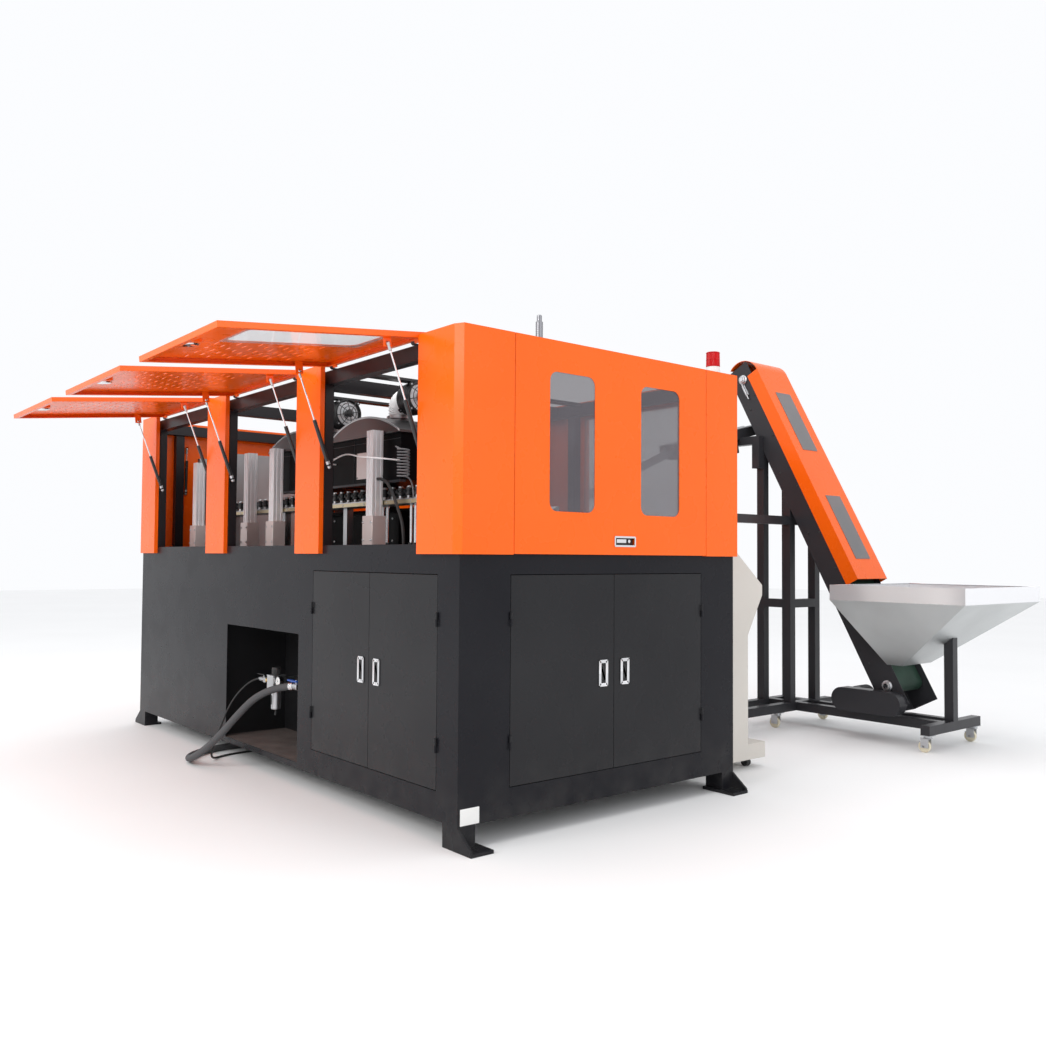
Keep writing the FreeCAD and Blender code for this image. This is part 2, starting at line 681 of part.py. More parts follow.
def leaf(tag, wide, holes, grip, slots=None):
    """Folded tray hanging shut from its hinge line: X along, -Y outwards."""
    outer = block(tag + "_outer", 0, wide, skin_out, skin_in, leaf_low, leaf_top)
    pocket = block(tag + "_pocket", D.cover_sheet, wide - D.cover_sheet,
                   skin_out + D.cover_sheet, skin_in - D.cover_sheet,
                   leaf_low + D.cover_sheet, leaf_top - D.cover_sheet)
    mouth = block(tag + "_mouth", D.gull_lip, wide - D.gull_lip,
                  skin_in - D.cover_sheet - 1, skin_in + 1, leaf_low + D.gull_lip,
                  leaf_top - D.gull_lip)
    tools = [pocket, mouth]
    for index, x0 in enumerate(holes):
        tools.append(rounded("%s_hole_%d" % (tag, index), x0, x0 + D.lift_window_wide,
                             skin_out - 1, skin_out + D.cover_sheet + 1,
                             leaf_low + D.lift_window_low,
                             leaf_low + D.lift_window_high, D.window_corner))
    if slots:
        tools.append(leaf_slots(tag + "_slot", *slots))
    low = leaf_low + D.grip_low
    left = size(grip) - D.grip_long / 2
    cup = block(tag + "_grip", left, left + D.grip_long, skin_out - D.grip_proud,
                skin_out + D.grip_deep, low, low + D.grip_high)
    grip_room = block(tag + "_grip_room", left + D.grip_rim,
                      left + D.grip_long - D.grip_rim, skin_out - D.grip_proud - 1,
                      skin_out + D.grip_deep - 2, low + D.grip_rim,
                      low + D.grip_high - D.grip_rim)
    tray = carve(tag + "_tray", outer, tools)
    items = [carve(tag + "_gripped", fuse(tag + "_with_grip", [tray, cup]),
                   [grip_room])]
    half = D.hinge_long / 2
    for index, centre in enumerate((D.hinge_inset, wide - D.hinge_inset)):
        items.append(prism("%s_knuckle_%d" % (tag, index), "X", centre, 0, 0,
                           D.knuckle_radius, half - 0.3))
        items.append(block("%s_tab_%d" % (tag, index), centre, centre + half - 0.3,
                           skin_in - 1, 0, -D.knuckle_radius, D.knuckle_radius * 0.4))
    high = D.strut_high_level - D.hinge_level
    depth = D.strut_high_in - D.hinge_in
    for side, x0 in (("a", D.strut_inset + D.eye_wide / 2 + D.bracket_gap),
                     ("b", wide - D.strut_inset - D.eye_wide / 2 - D.bracket_gap
                      - D.bracket_thick)):
        items.append(block("%s_bracket_%s" % (tag, side), x0, x0 + D.bracket_thick,
                           skin_out + D.cover_sheet - 1, depth + 14, high - 20,
                           high + 20))
    return items


def turn_out(item, x, y, z, angle):
    return place(item, x, y, z, (1, 0, 0), angle)


# Gas struts run from a low stud on the frame to a bracket on the leaf.
arm_in = D.strut_high_in - D.hinge_in
arm_up = D.strut_high_level - D.hinge_level
shut_in = D.strut_high_in - D.strut_low_in
shut_up = D.strut_high_level - D.strut_low_level
open_in = (D.hinge_in - D.strut_low_in + arm_in * cosine(D.gull_open)
           + arm_up * sine(D.gull_open))
open_up = (D.hinge_level - D.strut_low_level - arm_in * sine(D.gull_open)
           + arm_up * cosine(D.gull_open))
strut_shut_long = root(shut_in * shut_in + shut_up * shut_up)
strut_open_long = root(open_in * open_in + open_up * open_up)
strut_shut_lean = arctan(shut_in / shut_up)
strut_lean = arctan(-open_in / open_up)

hinge_y = across(D.hinge_in)
gulls = []
for index, (start, stop) in enumerate(bays):
    wide = stop - start - D.side_gap * 2
    holes = [D.window_far] if index == 0 else []
    slots = (size(45), 4, 3) if index == 0 else (size(115), 6, 6)
    name = "gull_door_%d" % (index + 1)
    item = node(name, fuse(name, leaf(name, wide, holes, wide / 2, slots)))
    turn_out(item, along(stop - D.side_gap), hinge_y, D.hinge_level, -D.gull_open)
    gulls.append((start, stop, wide))
wide = gulls[0][2]
pane = block("gull_window_pane", D.window_far - 15,
             D.window_far + D.lift_window_wide + 15, skin_out + D.cover_sheet,
             skin_out + D.cover_sheet + D.pane_thick,
             leaf_low + D.lift_window_low - 15, leaf_low + D.lift_window_high + 15)
window = node("gull_window", gather("gull_window", [pane]))
turn_out(window, along(gulls[0][1] - D.side_gap), hinge_y, D.hinge_level, -D.gull_open)


def strut_cylinders(tag, wide):
    """Two cylinders of one door, upright from their lower eyes."""
    items = []
    for side, x in (("a", D.strut_inset), ("b", wide - D.strut_inset)):
        barrel = bar("%s_barrel_%s" % (tag, side), "Z", x, 0, D.eye_radius - 2,
                     D.cylinder_radius, D.cylinder_long)
        bore = bar("%s_bore_%s" % (tag, side), "Z", x, 0,
                   D.eye_radius + D.cylinder_long - D.strut_travel - D.rod_tail * 2,
                   D.rod_radius + D.rod_fit, D.strut_travel + D.rod_tail * 3)
        eye = prism("%s_eye_%s" % (tag, side), "X", x - D.eye_wide / 2, 0, 0,
                    D.eye_radius, D.eye_wide)
        items.append(fuse("%s_unit_%s" % (tag, side),
                          [carve("%s_bored_%s" % (tag, side), barrel, [bore]), eye]))
    return items


def strut_rods(tag, wide, long):
    """Two rods of one door, upright, hanging from their upper eyes."""
    items = []
    base = D.eye_radius - 2 + D.cylinder_long - D.rod_tail
    for side, x, out in (("a", D.strut_inset, 1), ("b", wide - D.strut_inset, -1)):
        rod = bar("%s_rod_%s" % (tag, side), "Z", x, 0, base, D.rod_radius,
                  long - base - 2)
        eye = prism("%s_top_%s" % (tag, side), "X", x - D.eye_wide / 2, 0, long,
                    D.eye_radius, D.eye_wide)
        items.append(fuse("%s_shaft_%s" % (tag, side), [rod, eye]))
    return items


for index, (start, stop, wide) in enumerate(gulls):
    left = along(stop - D.side_gap)
    name = "strut_cylinders_%d" % (index + 1)
    item = node(name, gather(name, strut_cylinders(name, wide)))
    turn_out(item, left, across(D.strut_low_in), D.strut_low_level, strut_lean)
    name = "strut_rods_%d" % (index + 1)
    item = node(name, gather(name, strut_rods(name, wide, strut_open_long)))
    turn_out(item, left, across(D.strut_low_in), D.strut_low_level, strut_lean)

# The two end doors hang shut. Their leaves are drawn like the gull doors, and
# a quarter turn about Z sets them on the near or the far end.
lift_wide = D.end_right - D.end_left - D.side_gap * 2


def end_group(name, items, far, depth, level, lean):
    """Leaf or struts drawn along X, stood at one end of the machine."""
    tilted = turn_out(gather(name + "_tilted", items), 0, 0, 0, lean)
    item = gather(name, [tilted])
    if far:
        place(item, along(D.base_length - depth), across(D.end_right - D.side_gap),
              level, (0, 0, 1), -90)
    else:
        place(item, along(depth), across(D.end_left + D.side_gap), level, (0, 0, 1), 90)
    return node(name, item)


for far, name in ((False, "lift_door"), (True, "far_lift_door")):
    holes = [] if far else [D.lift_window_a, D.lift_window_b]
    end_group(name, [fuse(name + "_leaf", leaf(name, lift_wide, holes, D.lift_grip))],
              far, D.hinge_in, D.hinge_level, 0)
    for kind, items in (("cylinders", strut_cylinders(name + "_c", lift_wide)),
                        ("rods", strut_rods(name + "_r", lift_wide,
                                            strut_shut_long))):
        end_group(name + "_" + kind, items, far, D.strut_low_in, D.strut_low_level,
                  -strut_shut_lean)

panes = []
for index, x0 in enumerate((D.lift_window_a, D.lift_window_b)):
    panes.append(block("lift_pane_%d" % index, x0 - 15, x0 + D.lift_window_wide + 15,
                       skin_out + D.cover_sheet,
                       skin_out + D.cover_sheet + D.pane_thick,
                       leaf_low + D.lift_window_low - 15,
                       leaf_low + D.lift_window_high + 15))
end_group("lift_windows", panes, False, D.hinge_in, D.hinge_level, 0)

# ------------------------------------------------------- ovens, ducts, transfer

oven_items = []
hood_items = []
for index in range(2):
    l0 = D.oven_start + D.oven_pitch * index
    l1 = l0 + D.oven_long
    w0, w1 = D.oven_front, D.oven_front + D.oven_deep
    oven_items.append(slab("oven_%d" % index, l0, l1, w0, w1, D.oven_low, D.oven_high))
    for side, la in (("a", l0), ("b", l1 - 20)):
        oven_items.append(slab("oven_leg_%d%s" % (index, side), la, la + 20, w1 - 60, w1,
                               D.base_top, D.oven_low + 1))
    middle = (l0 + l1) / 2
    reach = D.oven_long / 2 + 15
    points = [(l0 - 15, D.oven_high + 0.3), (l1 + 15, D.oven_high + 0.3)]
    for step in range(9):
        out = 1 - step / 4
        rise = (D.hood_high - D.oven_high - 12) * (1 - out * out)
        points.append((middle + reach * out, D.oven_high + 12 + rise))
    body = outline("hood_%d" % index, "XZ_Plane", [(along(a), b) for a, b in points],
                   D.oven_deep + 40)
    place(body, 0, across(w1 + 20), 0)
    collar = bar("collar_%d" % index, "Z", along(middle), across((w0 + w1) / 2),
                 D.hood_high - 12, D.collar_radius, D.collar_high + 10)
    hood_items.append(fuse("hood_unit_%d" % index, [body, collar]))
node("oven_body", gather("oven_body", oven_items))
node("oven_hoods", gather("oven_hoods", hood_items))

track = slab("track", D.track_start, D.track_end, D.track_front,
             D.track_front + D.track_deep, D.track_low, D.track_high)
track_items = [track]
for index in range(4):
    l0 = D.track_start + 60 + (D.track_end - D.track_start - 160) * (index / 3)
    track_items.append(slab("track_leg_%d" % index, l0, l0 + 40, D.track_front + 50,
                            D.track_front + 90, D.base_top, D.track_low + 1))
for index in range(31):
    track_items.append(prism(
        "spindle_%d" % index, "Z",
        along(D.track_start + D.spindle_pitch * (index + 0.8)),
        across(D.track_front + D.track_deep / 2), D.track_high - 1,
        D.spindle_radius, D.spindle_high + 1, 6))
node("preform_rail", fuse("preform_rail", track_items))

posts = []
for index, start in enumerate((1050, 2195, 2560, 3420)):
    l0 = D.bay_a_end + (start - 1173)
    w0 = D.profile_front - D.block_side
    mid = D.block_side / 2
    foot_block = slab("profile_block_%d" % index, l0 - 19, l0 - 19 + D.block_side, w0,
                      w0 + D.block_side - 20, D.base_top, D.block_top)
    upright = slab("profile_%d" % index, l0, l0 + D.profile_side, w0 + 9,
                   w0 + 9 + D.profile_side, D.block_top - 1, D.profile_top)
    posts.append(fuse("profile_unit_%d" % index, [foot_block, upright]))
node("profile_posts", gather("profile_posts", posts))

# --------------------------------------------------------------- roof fittings

silencer_low = D.rail_top + 3
node("silencer", fuse("silencer", [
    slab("silencer_strap", D.rail_front + 5, D.silencer_along + 30,
         D.silencer_across - 20, D.silencer_across + 20, D.rail_top, D.rail_top + 4),
    bar("silencer_body", "Z", along(D.silencer_along), across(D.silencer_across),
        silencer_low, D.silencer_radius, D.silencer_high * 0.3),
    bar("silencer_mesh", "Z", along(D.silencer_along), across(D.silencer_across),
        silencer_low, D.silencer_radius - 3, D.silencer_high * 0.85),
    bar("silencer_tip", "Z", along(D.silencer_along), across(D.silencer_across),
        silencer_low, D.silencer_radius * 0.6, D.silencer_high)]))
beacon_low = D.rail_top + 3
node("beacon", fuse("beacon", [slab(
    "beacon_shelf", D.rail_front + 5, D.beacon_along + 40, D.beacon_across - 40,
    D.beacon_across + 30, D.rail_top, D.rail_top + 4), bar(
    "beacon_foot", "Z", along(D.beacon_along), across(D.beacon_across), beacon_low,
    D.beacon_radius, D.beacon_base), bar(
    "beacon_lens", "Z", along(D.beacon_along), across(D.beacon_across), beacon_low,
    D.beacon_radius - 2, D.beacon_high + D.beacon_base)]))

# --------------------------------------------------------------- console cabinet

node("console_cabinet", section("console_cabinet", [
    (D.console_back, D.console_floor), (D.console_foot, D.console_floor),
    (D.console_foot, D.console_plinth), (D.console_column, D.console_plinth),
    (D.console_column, D.console_knee), (D.console_nose, D.console_nose_low),
    (D.console_nose, D.console_nose_high), (D.console_crest, D.console_top),
    (D.console_back, D.console_top)], D.console_start, D.console_end))

# --------------------------------------------------------------------- elevator
# Its own frame: X down the incline from the head shaft, Y across, Z outwards.

near = across(D.trough_near)
far = across(D.trough_far)


def incline(name, items):
    item = gather(name, items)
    place(item, along(D.head_along), 0, D.head_level, (0, 1, 0), D.incline)
    return node(name, item)


sheet_t = D.trough_sheet
trough_outer = block("trough_outer", -D.trough_head, D.trough_long, near, far,
                     -D.trough_back, D.trough_front)
trough_inner = block("trough_inner", -D.trough_head - 1, D.trough_long + 1,
                     near + sheet_t, far - sheet_t, -D.trough_back + sheet_t,
                     D.trough_front + 1)
trough_tools = [trough_inner]
for index, x in enumerate((size(0), D.tail_down)):
    trough_tools.append(bar("trough_bearing_%d" % index, "Y", x, near - 10, 0,
                            D.drum_shaft + D.shaft_fit, far - near + 20))
trough = carve("trough_shell", trough_outer, trough_tools)
incline("elevator_trough", [trough])

cover_outer = block("cover_outer", 0, D.cover_long, near - sheet_t - 0.3,
                    far + sheet_t + 0.3, D.cover_low, D.cover_high)
cover_inner = block("cover_inner", -1, D.cover_long + 1, near - 0.3, far + 0.3,
                    D.cover_low - 1, D.cover_high - sheet_t)
pane_mid = (near + far) / 2
cuts = [cover_inner]
for index, first in enumerate((D.pane_first, D.pane_second)):
    cuts.append(block("cover_window_%d" % index, first, first + D.pane_long / 1.4,
                      pane_mid - D.pane_wide / 2, pane_mid + D.pane_wide / 2,
                      D.cover_high - sheet_t - 1, D.cover_high + 1))
cover = carve("cover_tray", cover_outer, cuts)
hood_outer = bar("head_hood_outer", "Y", 0, near - sheet_t - 0.3, 0, D.hood_radius,
                 far - near + sheet_t * 2 + 0.6)
hood_inner = bar("head_hood_inner", "Y", 0, near - sheet_t - 1, 0,
                 D.hood_radius - sheet_t, far - near + sheet_t * 2 + 2)
hood_cut = block("head_hood_cut", 0, D.hood_radius * 2, near - 20, far + 20,
                 -D.hood_radius * 2, D.hood_radius * 2)
hood_open = block("head_hood_open", -D.hood_radius * 2, D.hood_radius, near - 20,
                  far + 20, -D.hood_radius * 2, -D.hood_radius * 0.45)
hood = carve("head_hood", hood_outer, [hood_inner, hood_cut, hood_open])
incline("elevator_cover", [fuse("cover_unit", [cover, hood])])

glass = []
for index, first in enumerate((D.pane_first, D.pane_second)):
    glass.append(block("cover_pane_%d" % index, first - 12,
                       first + D.pane_long / 1.4 + 12, pane_mid - D.pane_wide / 2 - 12,
                       pane_mid + D.pane_wide / 2 + 12, D.cover_high - sheet_t * 2,
                       D.cover_high - sheet_t))
sloped = gather("cover_panes", glass)
place(sloped, along(D.head_along), 0, D.head_level, (0, 1, 0), D.incline)
rear_pane = slab("rear_pane", D.rear_pane_start - 12, D.rear_pane_end + 12,
                 D.base_depth - D.pane_thick, D.base_depth, D.rear_pane_low - 12,
                 D.rear_pane_high + 12)
node("fixed_windows", gather("fixed_windows", [sloped, rear_pane]))

# ----------------------------------------------------------------------- hopper

rim_outer = slab("rim_outer", D.hopper_front, D.hopper_back, D.hopper_near,
                 D.hopper_far, D.hopper_fold, D.hopper_rim)
rim_inner = slab("rim_inner", D.hopper_front + D.hopper_sheet,
                 D.hopper_back - D.hopper_sheet, D.hopper_near + D.hopper_sheet,
                 D.hopper_far - D.hopper_sheet, D.hopper_fold - 1, D.hopper_rim + 1)


def funnel(tag, grow, extra):
    """Truncated pyramid between the hopper's fold and its mouth."""
    item = doc.addObject("Part::Wedge", tag)
    bind(item, "Xmin", along(D.mouth_back + grow))
    bind(item, "Xmax", along(D.mouth_front - grow))
    bind(item, "Zmin", -across(D.trough_far + grow))
    bind(item, "Zmax", -across(D.trough_near - grow))
    bind(item, "Ymin", D.hopper_low - extra)
    bind(item, "Ymax", D.hopper_fold + extra)
    bind(item, "X2min", along(D.hopper_back + grow))
    bind(item, "X2max", along(D.hopper_front - grow))
    bind(item, "Z2min", -across(D.hopper_far + grow))
    bind(item, "Z2max", -across(D.hopper_near - grow))
    item.Placement = FreeCAD.Placement(
        FreeCAD.Vector(0, 0, 0), FreeCAD.Rotation(FreeCAD.Vector(1, 0, 0), 90))
    return item


trough_room = block("trough_room", -D.trough_head, D.trough_long, near - 0.3, far + 0.3,
                    -D.trough_back - 0.3, D.trough_front + 0.3)
place(trough_room, along(D.head_along), 0, D.head_level, (0, 1, 0), D.incline)
bind(trough_room, "Placement.Base.x", along(D.head_along) - D.trough_head
     * cosine(D.incline) - (D.trough_back + 0.3) * sine(D.incline))
bind(trough_room, "Placement.Base.y", near - 0.3)
bind(trough_room, "Placement.Base.z", D.head_level + D.trough_head
     * sine(D.incline) - (D.trough_back + 0.3) * cosine(D.incline))
hopper_shell = fuse("hopper_shell", [
    carve("hopper_rim", rim_outer, [rim_inner]),
    carve("hopper_funnel", funnel("funnel_outer", size(0), size(0)),
          [funnel("funnel_inner", -D.hopper_sheet * 1.3, size(0.4))])])
node("hopper", carve("hopper", hopper_shell, [trough_room]))

# ---------------------------------------------------------------- elevator stand

side = D.bar_side
low, high = D.bar_low, D.bar_low + D.bar_side
stand_mid_w = (D.trough_near + D.trough_far) / 2
stand_items = [
    slab("tee_bar", D.tee_front, D.tee_front + side, D.tee_near, D.tee_far, low, high),
    slab("tee_bar_rear", D.tee_rear, D.tee_rear + side, D.tee_near, D.tee_far, low, high),
    slab("ground_rail_a", D.tee_front + 1, D.stand_rear + side, D.rail_near,
         D.rail_near + side, low, high),
    slab("ground_rail_b", D.tee_front + 1, D.stand_rear + side, D.rail_far,
         D.rail_far + side, low, high),
    slab("ground_rear", D.stand_rear, D.stand_rear + side, D.stand_left, D.trough_far,
         low, high),
    slab("ground_front", D.stand_front, D.stand_front + side, D.stand_left,
         D.trough_far, low, high),
]


def upright(tag, l0, w0, top):
    return slab(tag, l0, l0 + side, w0, w0 + side, high - 1, top)


near_w, far_w = D.trough_near, D.trough_far - side
tower = [
    upright("post_front_near", D.stand_front, near_w, D.post_reach_front),
    upright("post_front_far", D.stand_front, far_w, D.post_reach_front),
    upright("post_rear_near", D.stand_rear, near_w, D.post_reach_rear),
    upright("post_rear_far", D.stand_rear, far_w, D.post_reach_rear),
    upright("post_left_front", D.stand_front, D.stand_left, D.sorter_arm),
    upright("post_left_rear", D.stand_rear, D.stand_left, D.sorter_arm),
    slab("bar_mid_side", D.stand_front + 1, D.stand_rear + 1, near_w, near_w + side,
         D.stand_mid, D.stand_mid + side),
    slab("bar_mid_front", D.stand_front, D.stand_front + side, near_w + 1, far_w + 1,
         D.stand_mid, D.stand_mid + side),
    slab("bar_high_front", D.stand_front, D.stand_front + side, D.stand_left + 1,
         far_w + 1, D.stand_high, D.stand_high + side),
    slab("arm_left", D.stand_front, D.roller_along + D.sorter_half, D.stand_left,
         D.stand_left + side, D.sorter_arm - side, D.sorter_arm),
    slab("arm_right", D.stand_rear + 1, D.roller_along + D.sorter_half, near_w - side,
         near_w + 1, D.sorter_arm_right - side, D.sorter_arm_right),
    slab("arm_stub", D.stand_rear, D.stand_rear + side, near_w - side, near_w + 1,
         D.sorter_arm_right - side * 4, D.sorter_arm_right),
]
hopper_post = slab("hopper_post", D.tee_front, D.tee_front + side,
                   stand_mid_w - side / 2, stand_mid_w + side / 2, high - 1,
                   D.hopper_post_top)
funnel_room = funnel("funnel_room", size(0.3), size(0))
stand_items += tower + [carve("hopper_prop", hopper_post, [funnel_room])]

# Sorter cradle: two rails and two end plates along the rollers, leaning down
# towards the machine. Its frame: X along the machine, Y up the lean, Z over it.
cradle_y0 = size(-30)
cradle_y1 = D.roller_long + 30
half = D.sorter_half


def lean(item):
    return place(item, along(D.roller_along), across(D.roller_start),
                 D.roller_level, (1, 0, 0), D.roller_lean)


plates = [block("cradle_rail_a", -half, -half + 8, cradle_y0, cradle_y1, -50, 22),
          block("cradle_rail_b", half - 8, half, cradle_y0, cradle_y1, -50, 22)]
bores = []
for index, x in enumerate((-D.roller_apart / 2, D.roller_apart / 2)):
    bores.append(bar("cradle_bore_%d" % index, "Y", x, cradle_y0 - 1, 0,
                     D.shaft_radius + D.shaft_fit, cradle_y1 - cradle_y0 + 2))
ends = fuse("cradle_ends", [
    block("cradle_end_a", -half, half, cradle_y0, cradle_y0 + 10, -50, 22),
    block("cradle_end_b", -half, half, cradle_y1 - 10, cradle_y1, -50, 22)])
cradle = lean(gather("cradle", [fuse("cradle_unit", plates
                                     + [carve("cradle_bored", ends, bores)])]))
stand = fuse("elevator_stand_raw", stand_items + [cradle])
node("elevator_stand", carve("elevator_stand", stand, [trough_room]))

for index, (name, x) in enumerate((("sorter_roller_a", -D.roller_apart / 2),
                                   ("sorter_roller_b", D.roller_apart / 2))):
    core = bar(name + "_core", "Y", x, cradle_y0 - 12, 0, D.shaft_radius,
               cradle_y1 - cradle_y0 + 24)
    barrel = bar(name + "_barrel", "Y", x, 0, 0, D.roller_radius, D.roller_long)
    node(name, lean(gather(name, [fuse(name + "_unit", [core, barrel])])))

# Slide rail from the sorter down through the rear of the frame to the transfer.
slide_points = [(D.slide_low_across, D.slide_low_level),
                (D.slide_high_across, D.slide_high_level),
                (D.slide_high_across, D.slide_high_level + D.slide_deep),
                (D.slide_low_across, D.slide_low_level + D.slide_deep)]
slide_items = []
for index, offset in enumerate((0, D.slide_apart)):
    slide_items.append(section("slide_%d" % index, slide_points, D.slide_along + offset,
                               D.slide_along + offset + 6))
slide_items.append(slab("slide_foot", D.slide_along, D.slide_along + D.slide_apart + 6,
                        D.slide_low_across + 40, D.slide_low_across + 90,
                        D.base_top, D.slide_low_level + 20))
slide_items.append(slab("slide_tie", D.slide_along, D.slide_along + D.slide_apart + 6,
                        D.slide_high_across - 40, D.slide_high_across - 30,
                        D.slide_high_level - 8, D.slide_high_level + 8))
node("slide_rail", fuse("slide_rail", slide_items))

# --------------------------------------------------------- belt, drums, drives

belt_items = []
r0, r1 = D.drum_radius + 0.3, D.drum_radius + D.belt_thick
by0, by1 = near + D.belt_side, far - D.belt_side
belt_items.append(block("belt_upper", 0, D.tail_down, by0, by1, r0, r1))
belt_items.append(block("belt_lower", 0, D.tail_down, by0, by1, -r1, -r0))
for tag, x, x0, x1 in (("head", size(0), -r1 - 5, size(0)),
                       ("tail", D.tail_down, D.tail_down, D.tail_down + r1 + 5)):
    ring = carve("belt_%s_ring" % tag, bar("belt_%s_out" % tag, "Y", x, by0, 0, r1,
                                           by1 - by0),
                 [bar("belt_%s_in" % tag, "Y", x, by0 - 1, 0, r0, by1 - by0 + 2)])
    common = doc.addObject("Part::Common", "belt_%s_half" % tag)
    common.Base = ring
    common.Tool = block("belt_%s_room" % tag, x0, x1, by0 - 1, by1 + 1, -r1 - 5, r1 + 5)
    belt_items.append(common)
for index in range(8):
    x = D.flight_pitch * (index + 0.4)
    belt_items.append(block("flight_%d" % index, x, x + 6, by0 + 6, by1 - 6, r1 - 1,
                            r1 + D.flight_high * 0.6))
incline("elevator_belt", [fuse("belt_loop", belt_items)])

for name, x, out in (("head_shaft", size(0), 26), ("tail_shaft", D.tail_down, 16)):
    incline(name, [fuse(name + "_unit", [
        bar(name + "_drum", "Y", x, by0 + 2, 0, D.drum_radius, by1 - by0 - 4),
        bar(name + "_core", "Y", x, near - out, 0, D.drum_shaft, far - near + out)])])

# ------------------------------------------------------------------- casters

caster_items = []
wheel = D.wheel_radius


def caster(tag, l, w, radius, wide, top, drop):
    """Wheel with a fork plate under a foot."""
    trail = radius * 0.55
    tread = bar(tag + "_wheel", "Y", along(l + trail), across(w - wide / 2), radius,
                radius, wide)
    plate = slab(tag + "_plate", l - radius * 0.9, l + radius * 0.9, w - radius * 0.9,
                 w + radius * 0.9, top - 4, top)
    stem = slab(tag + "_stem", l - radius * 0.35, l + radius * 0.35, w - radius * 0.35,
                w + radius * 0.35, radius * drop, top - 3)
    return fuse(tag, [tread, plate, stem])


for index, (l, w) in enumerate(((D.tee_front + 30, D.tee_near + 36),
                                (D.tee_front + 30, D.tee_far - 36),
                                (D.tee_rear + 30, D.tee_near + 36),
                                (D.tee_rear + 30, D.tee_far - 36))):
    caster_items.append(caster("stand_caster_%d" % index, l, w, wheel, D.wheel_wide,
                               D.bar_low, 1.2))
for index, (l, w) in enumerate(((D.console_start + 60, D.console_foot - 60),
                                (D.console_end - 60, D.console_foot - 60),
                                (D.console_start + 60, D.console_back + 60),
                                (D.console_end - 60, D.console_back + 60))):
    caster_items.append(caster("console_caster_%d" % index, l, w, D.castor_radius,
                               D.castor_wide, D.console_floor, 1.0))
node("casters", gather("casters", caster_items))

# ---------------------------------------------------------------- drive units

guard_mid = (D.guard_low + D.guard_high) / 2
guard_r = (D.guard_high - D.guard_low) / 2
guard_w0 = D.trough_near - D.guard_wide - 0.3
guard = fuse("belt_guard", [
    slab("guard_box", D.guard_start + guard_r, D.guard_end - guard_r, guard_w0,
         guard_w0 + D.guard_wide, D.guard_low, D.guard_high),
    bar("guard_round_a", "Y", along(D.guard_start + guard_r), across(guard_w0),
        guard_mid, guard_r, D.guard_wide),
    bar("guard_round_b", "Y", along(D.guard_end - guard_r), across(guard_w0),
        guard_mid, guard_r, D.guard_wide),
    slab("guard_mount", D.guard_end - guard_r - 60, D.guard_end - guard_r + 60,
         guard_w0 + D.guard_wide - 1, D.rail_near + 20, high, guard_mid)])
motor = fuse("lower_motor", [
    bar("motor_body", "Y", along(D.guard_end - guard_r), across(D.rail_near + 10),
        guard_mid + 8, 62, 150),
    slab("motor_seat", D.guard_end - guard_r - 50, D.guard_end - guard_r + 50,
         D.rail_near, D.rail_far + side, high + 0.3, high + 40)])
lean_motor = lean(fuse("sorter_drive", [block(
    "sorter_motor", -half + 10, half - 10, D.roller_long * 0.56, D.roller_long * 0.72,
    -150, -52), block("sorter_motor_seat", -half, half, D.roller_long * 0.545,
                      D.roller_long * 0.73, -54, -50.3)]))
node("drive_units", gather("drive_units", [fuse("elevator_drive", [guard, motor]),
                                           lean_motor]))

# ----------------------------------------------------------- fans and air ducts

fan_solids = []
impellers = []
duct_solids = []
for index in range(2):
    l0 = D.oven_start + D.oven_pitch * index
    middle = l0 + D.oven_long / 2
    w = D.oven_front + D.oven_deep / 2
    z_top = D.hood_high + D.collar_high
    fan_l = middle - D.duct_bend - 20
    x0 = along(fan_l)
    level = z_top + D.duct_bend
    ring = carve("fan_ring_%d" % index,
                 bar("fan_out_%d" % index, "X", x0, across(w), level, D.fan_radius,
                     D.fan_wide),
                 [bar("fan_in_%d" % index, "X", x0 + 6, across(w), level,
                      D.fan_radius - 8, D.fan_wide)])
    hub = bar("fan_hub_%d" % index, "X", x0 - 19, across(w), level, 9, 59)
    inlet = bar("fan_neck_%d" % index, "X", x0 - 20, across(w), level, D.duct_radius,
                22)
    carrier = slab("fan_carrier_%d" % index, fan_l - D.fan_wide + 20, fan_l - 30,
                   D.rail_front + D.rail_deep, D.base_depth - D.rail_front
                   - D.rail_deep, level + D.fan_radius - 4, D.rail_top)
    fan_solids.append(fuse("fan_unit_%d" % index, [ring, hub, inlet, carrier]))
    spin = carve("impeller_bored_%d" % index,
                 bar("impeller_disc_%d" % index, "X", x0 + 14, across(w), level,
                     D.fan_radius - 14, D.fan_wide - 30),
                 [bar("impeller_bore_%d" % index, "X", x0, across(w), level,
                      9 + D.shaft_fit, D.fan_wide)])
    impellers.append(spin)
    elbow = doc.addObject("Part::Torus", "duct_elbow_%d" % index)
    bind(elbow, "Radius1", D.duct_bend)
    bind(elbow, "Radius2", D.duct_radius - 1)
    bind(elbow, "Angle3", 90)
    place(elbow, along(middle - D.duct_bend), across(w), z_top + 0.3, (0, 1, 1), 180)
    duct_solids.append(elbow)
node("fan_housings", gather("fan_housings", fan_solids))
node("fan_impellers", gather("fan_impellers", impellers))
node("air_ducts", gather("air_ducts", duct_solids))

# ------------------------------------------------------------ clamp and platen

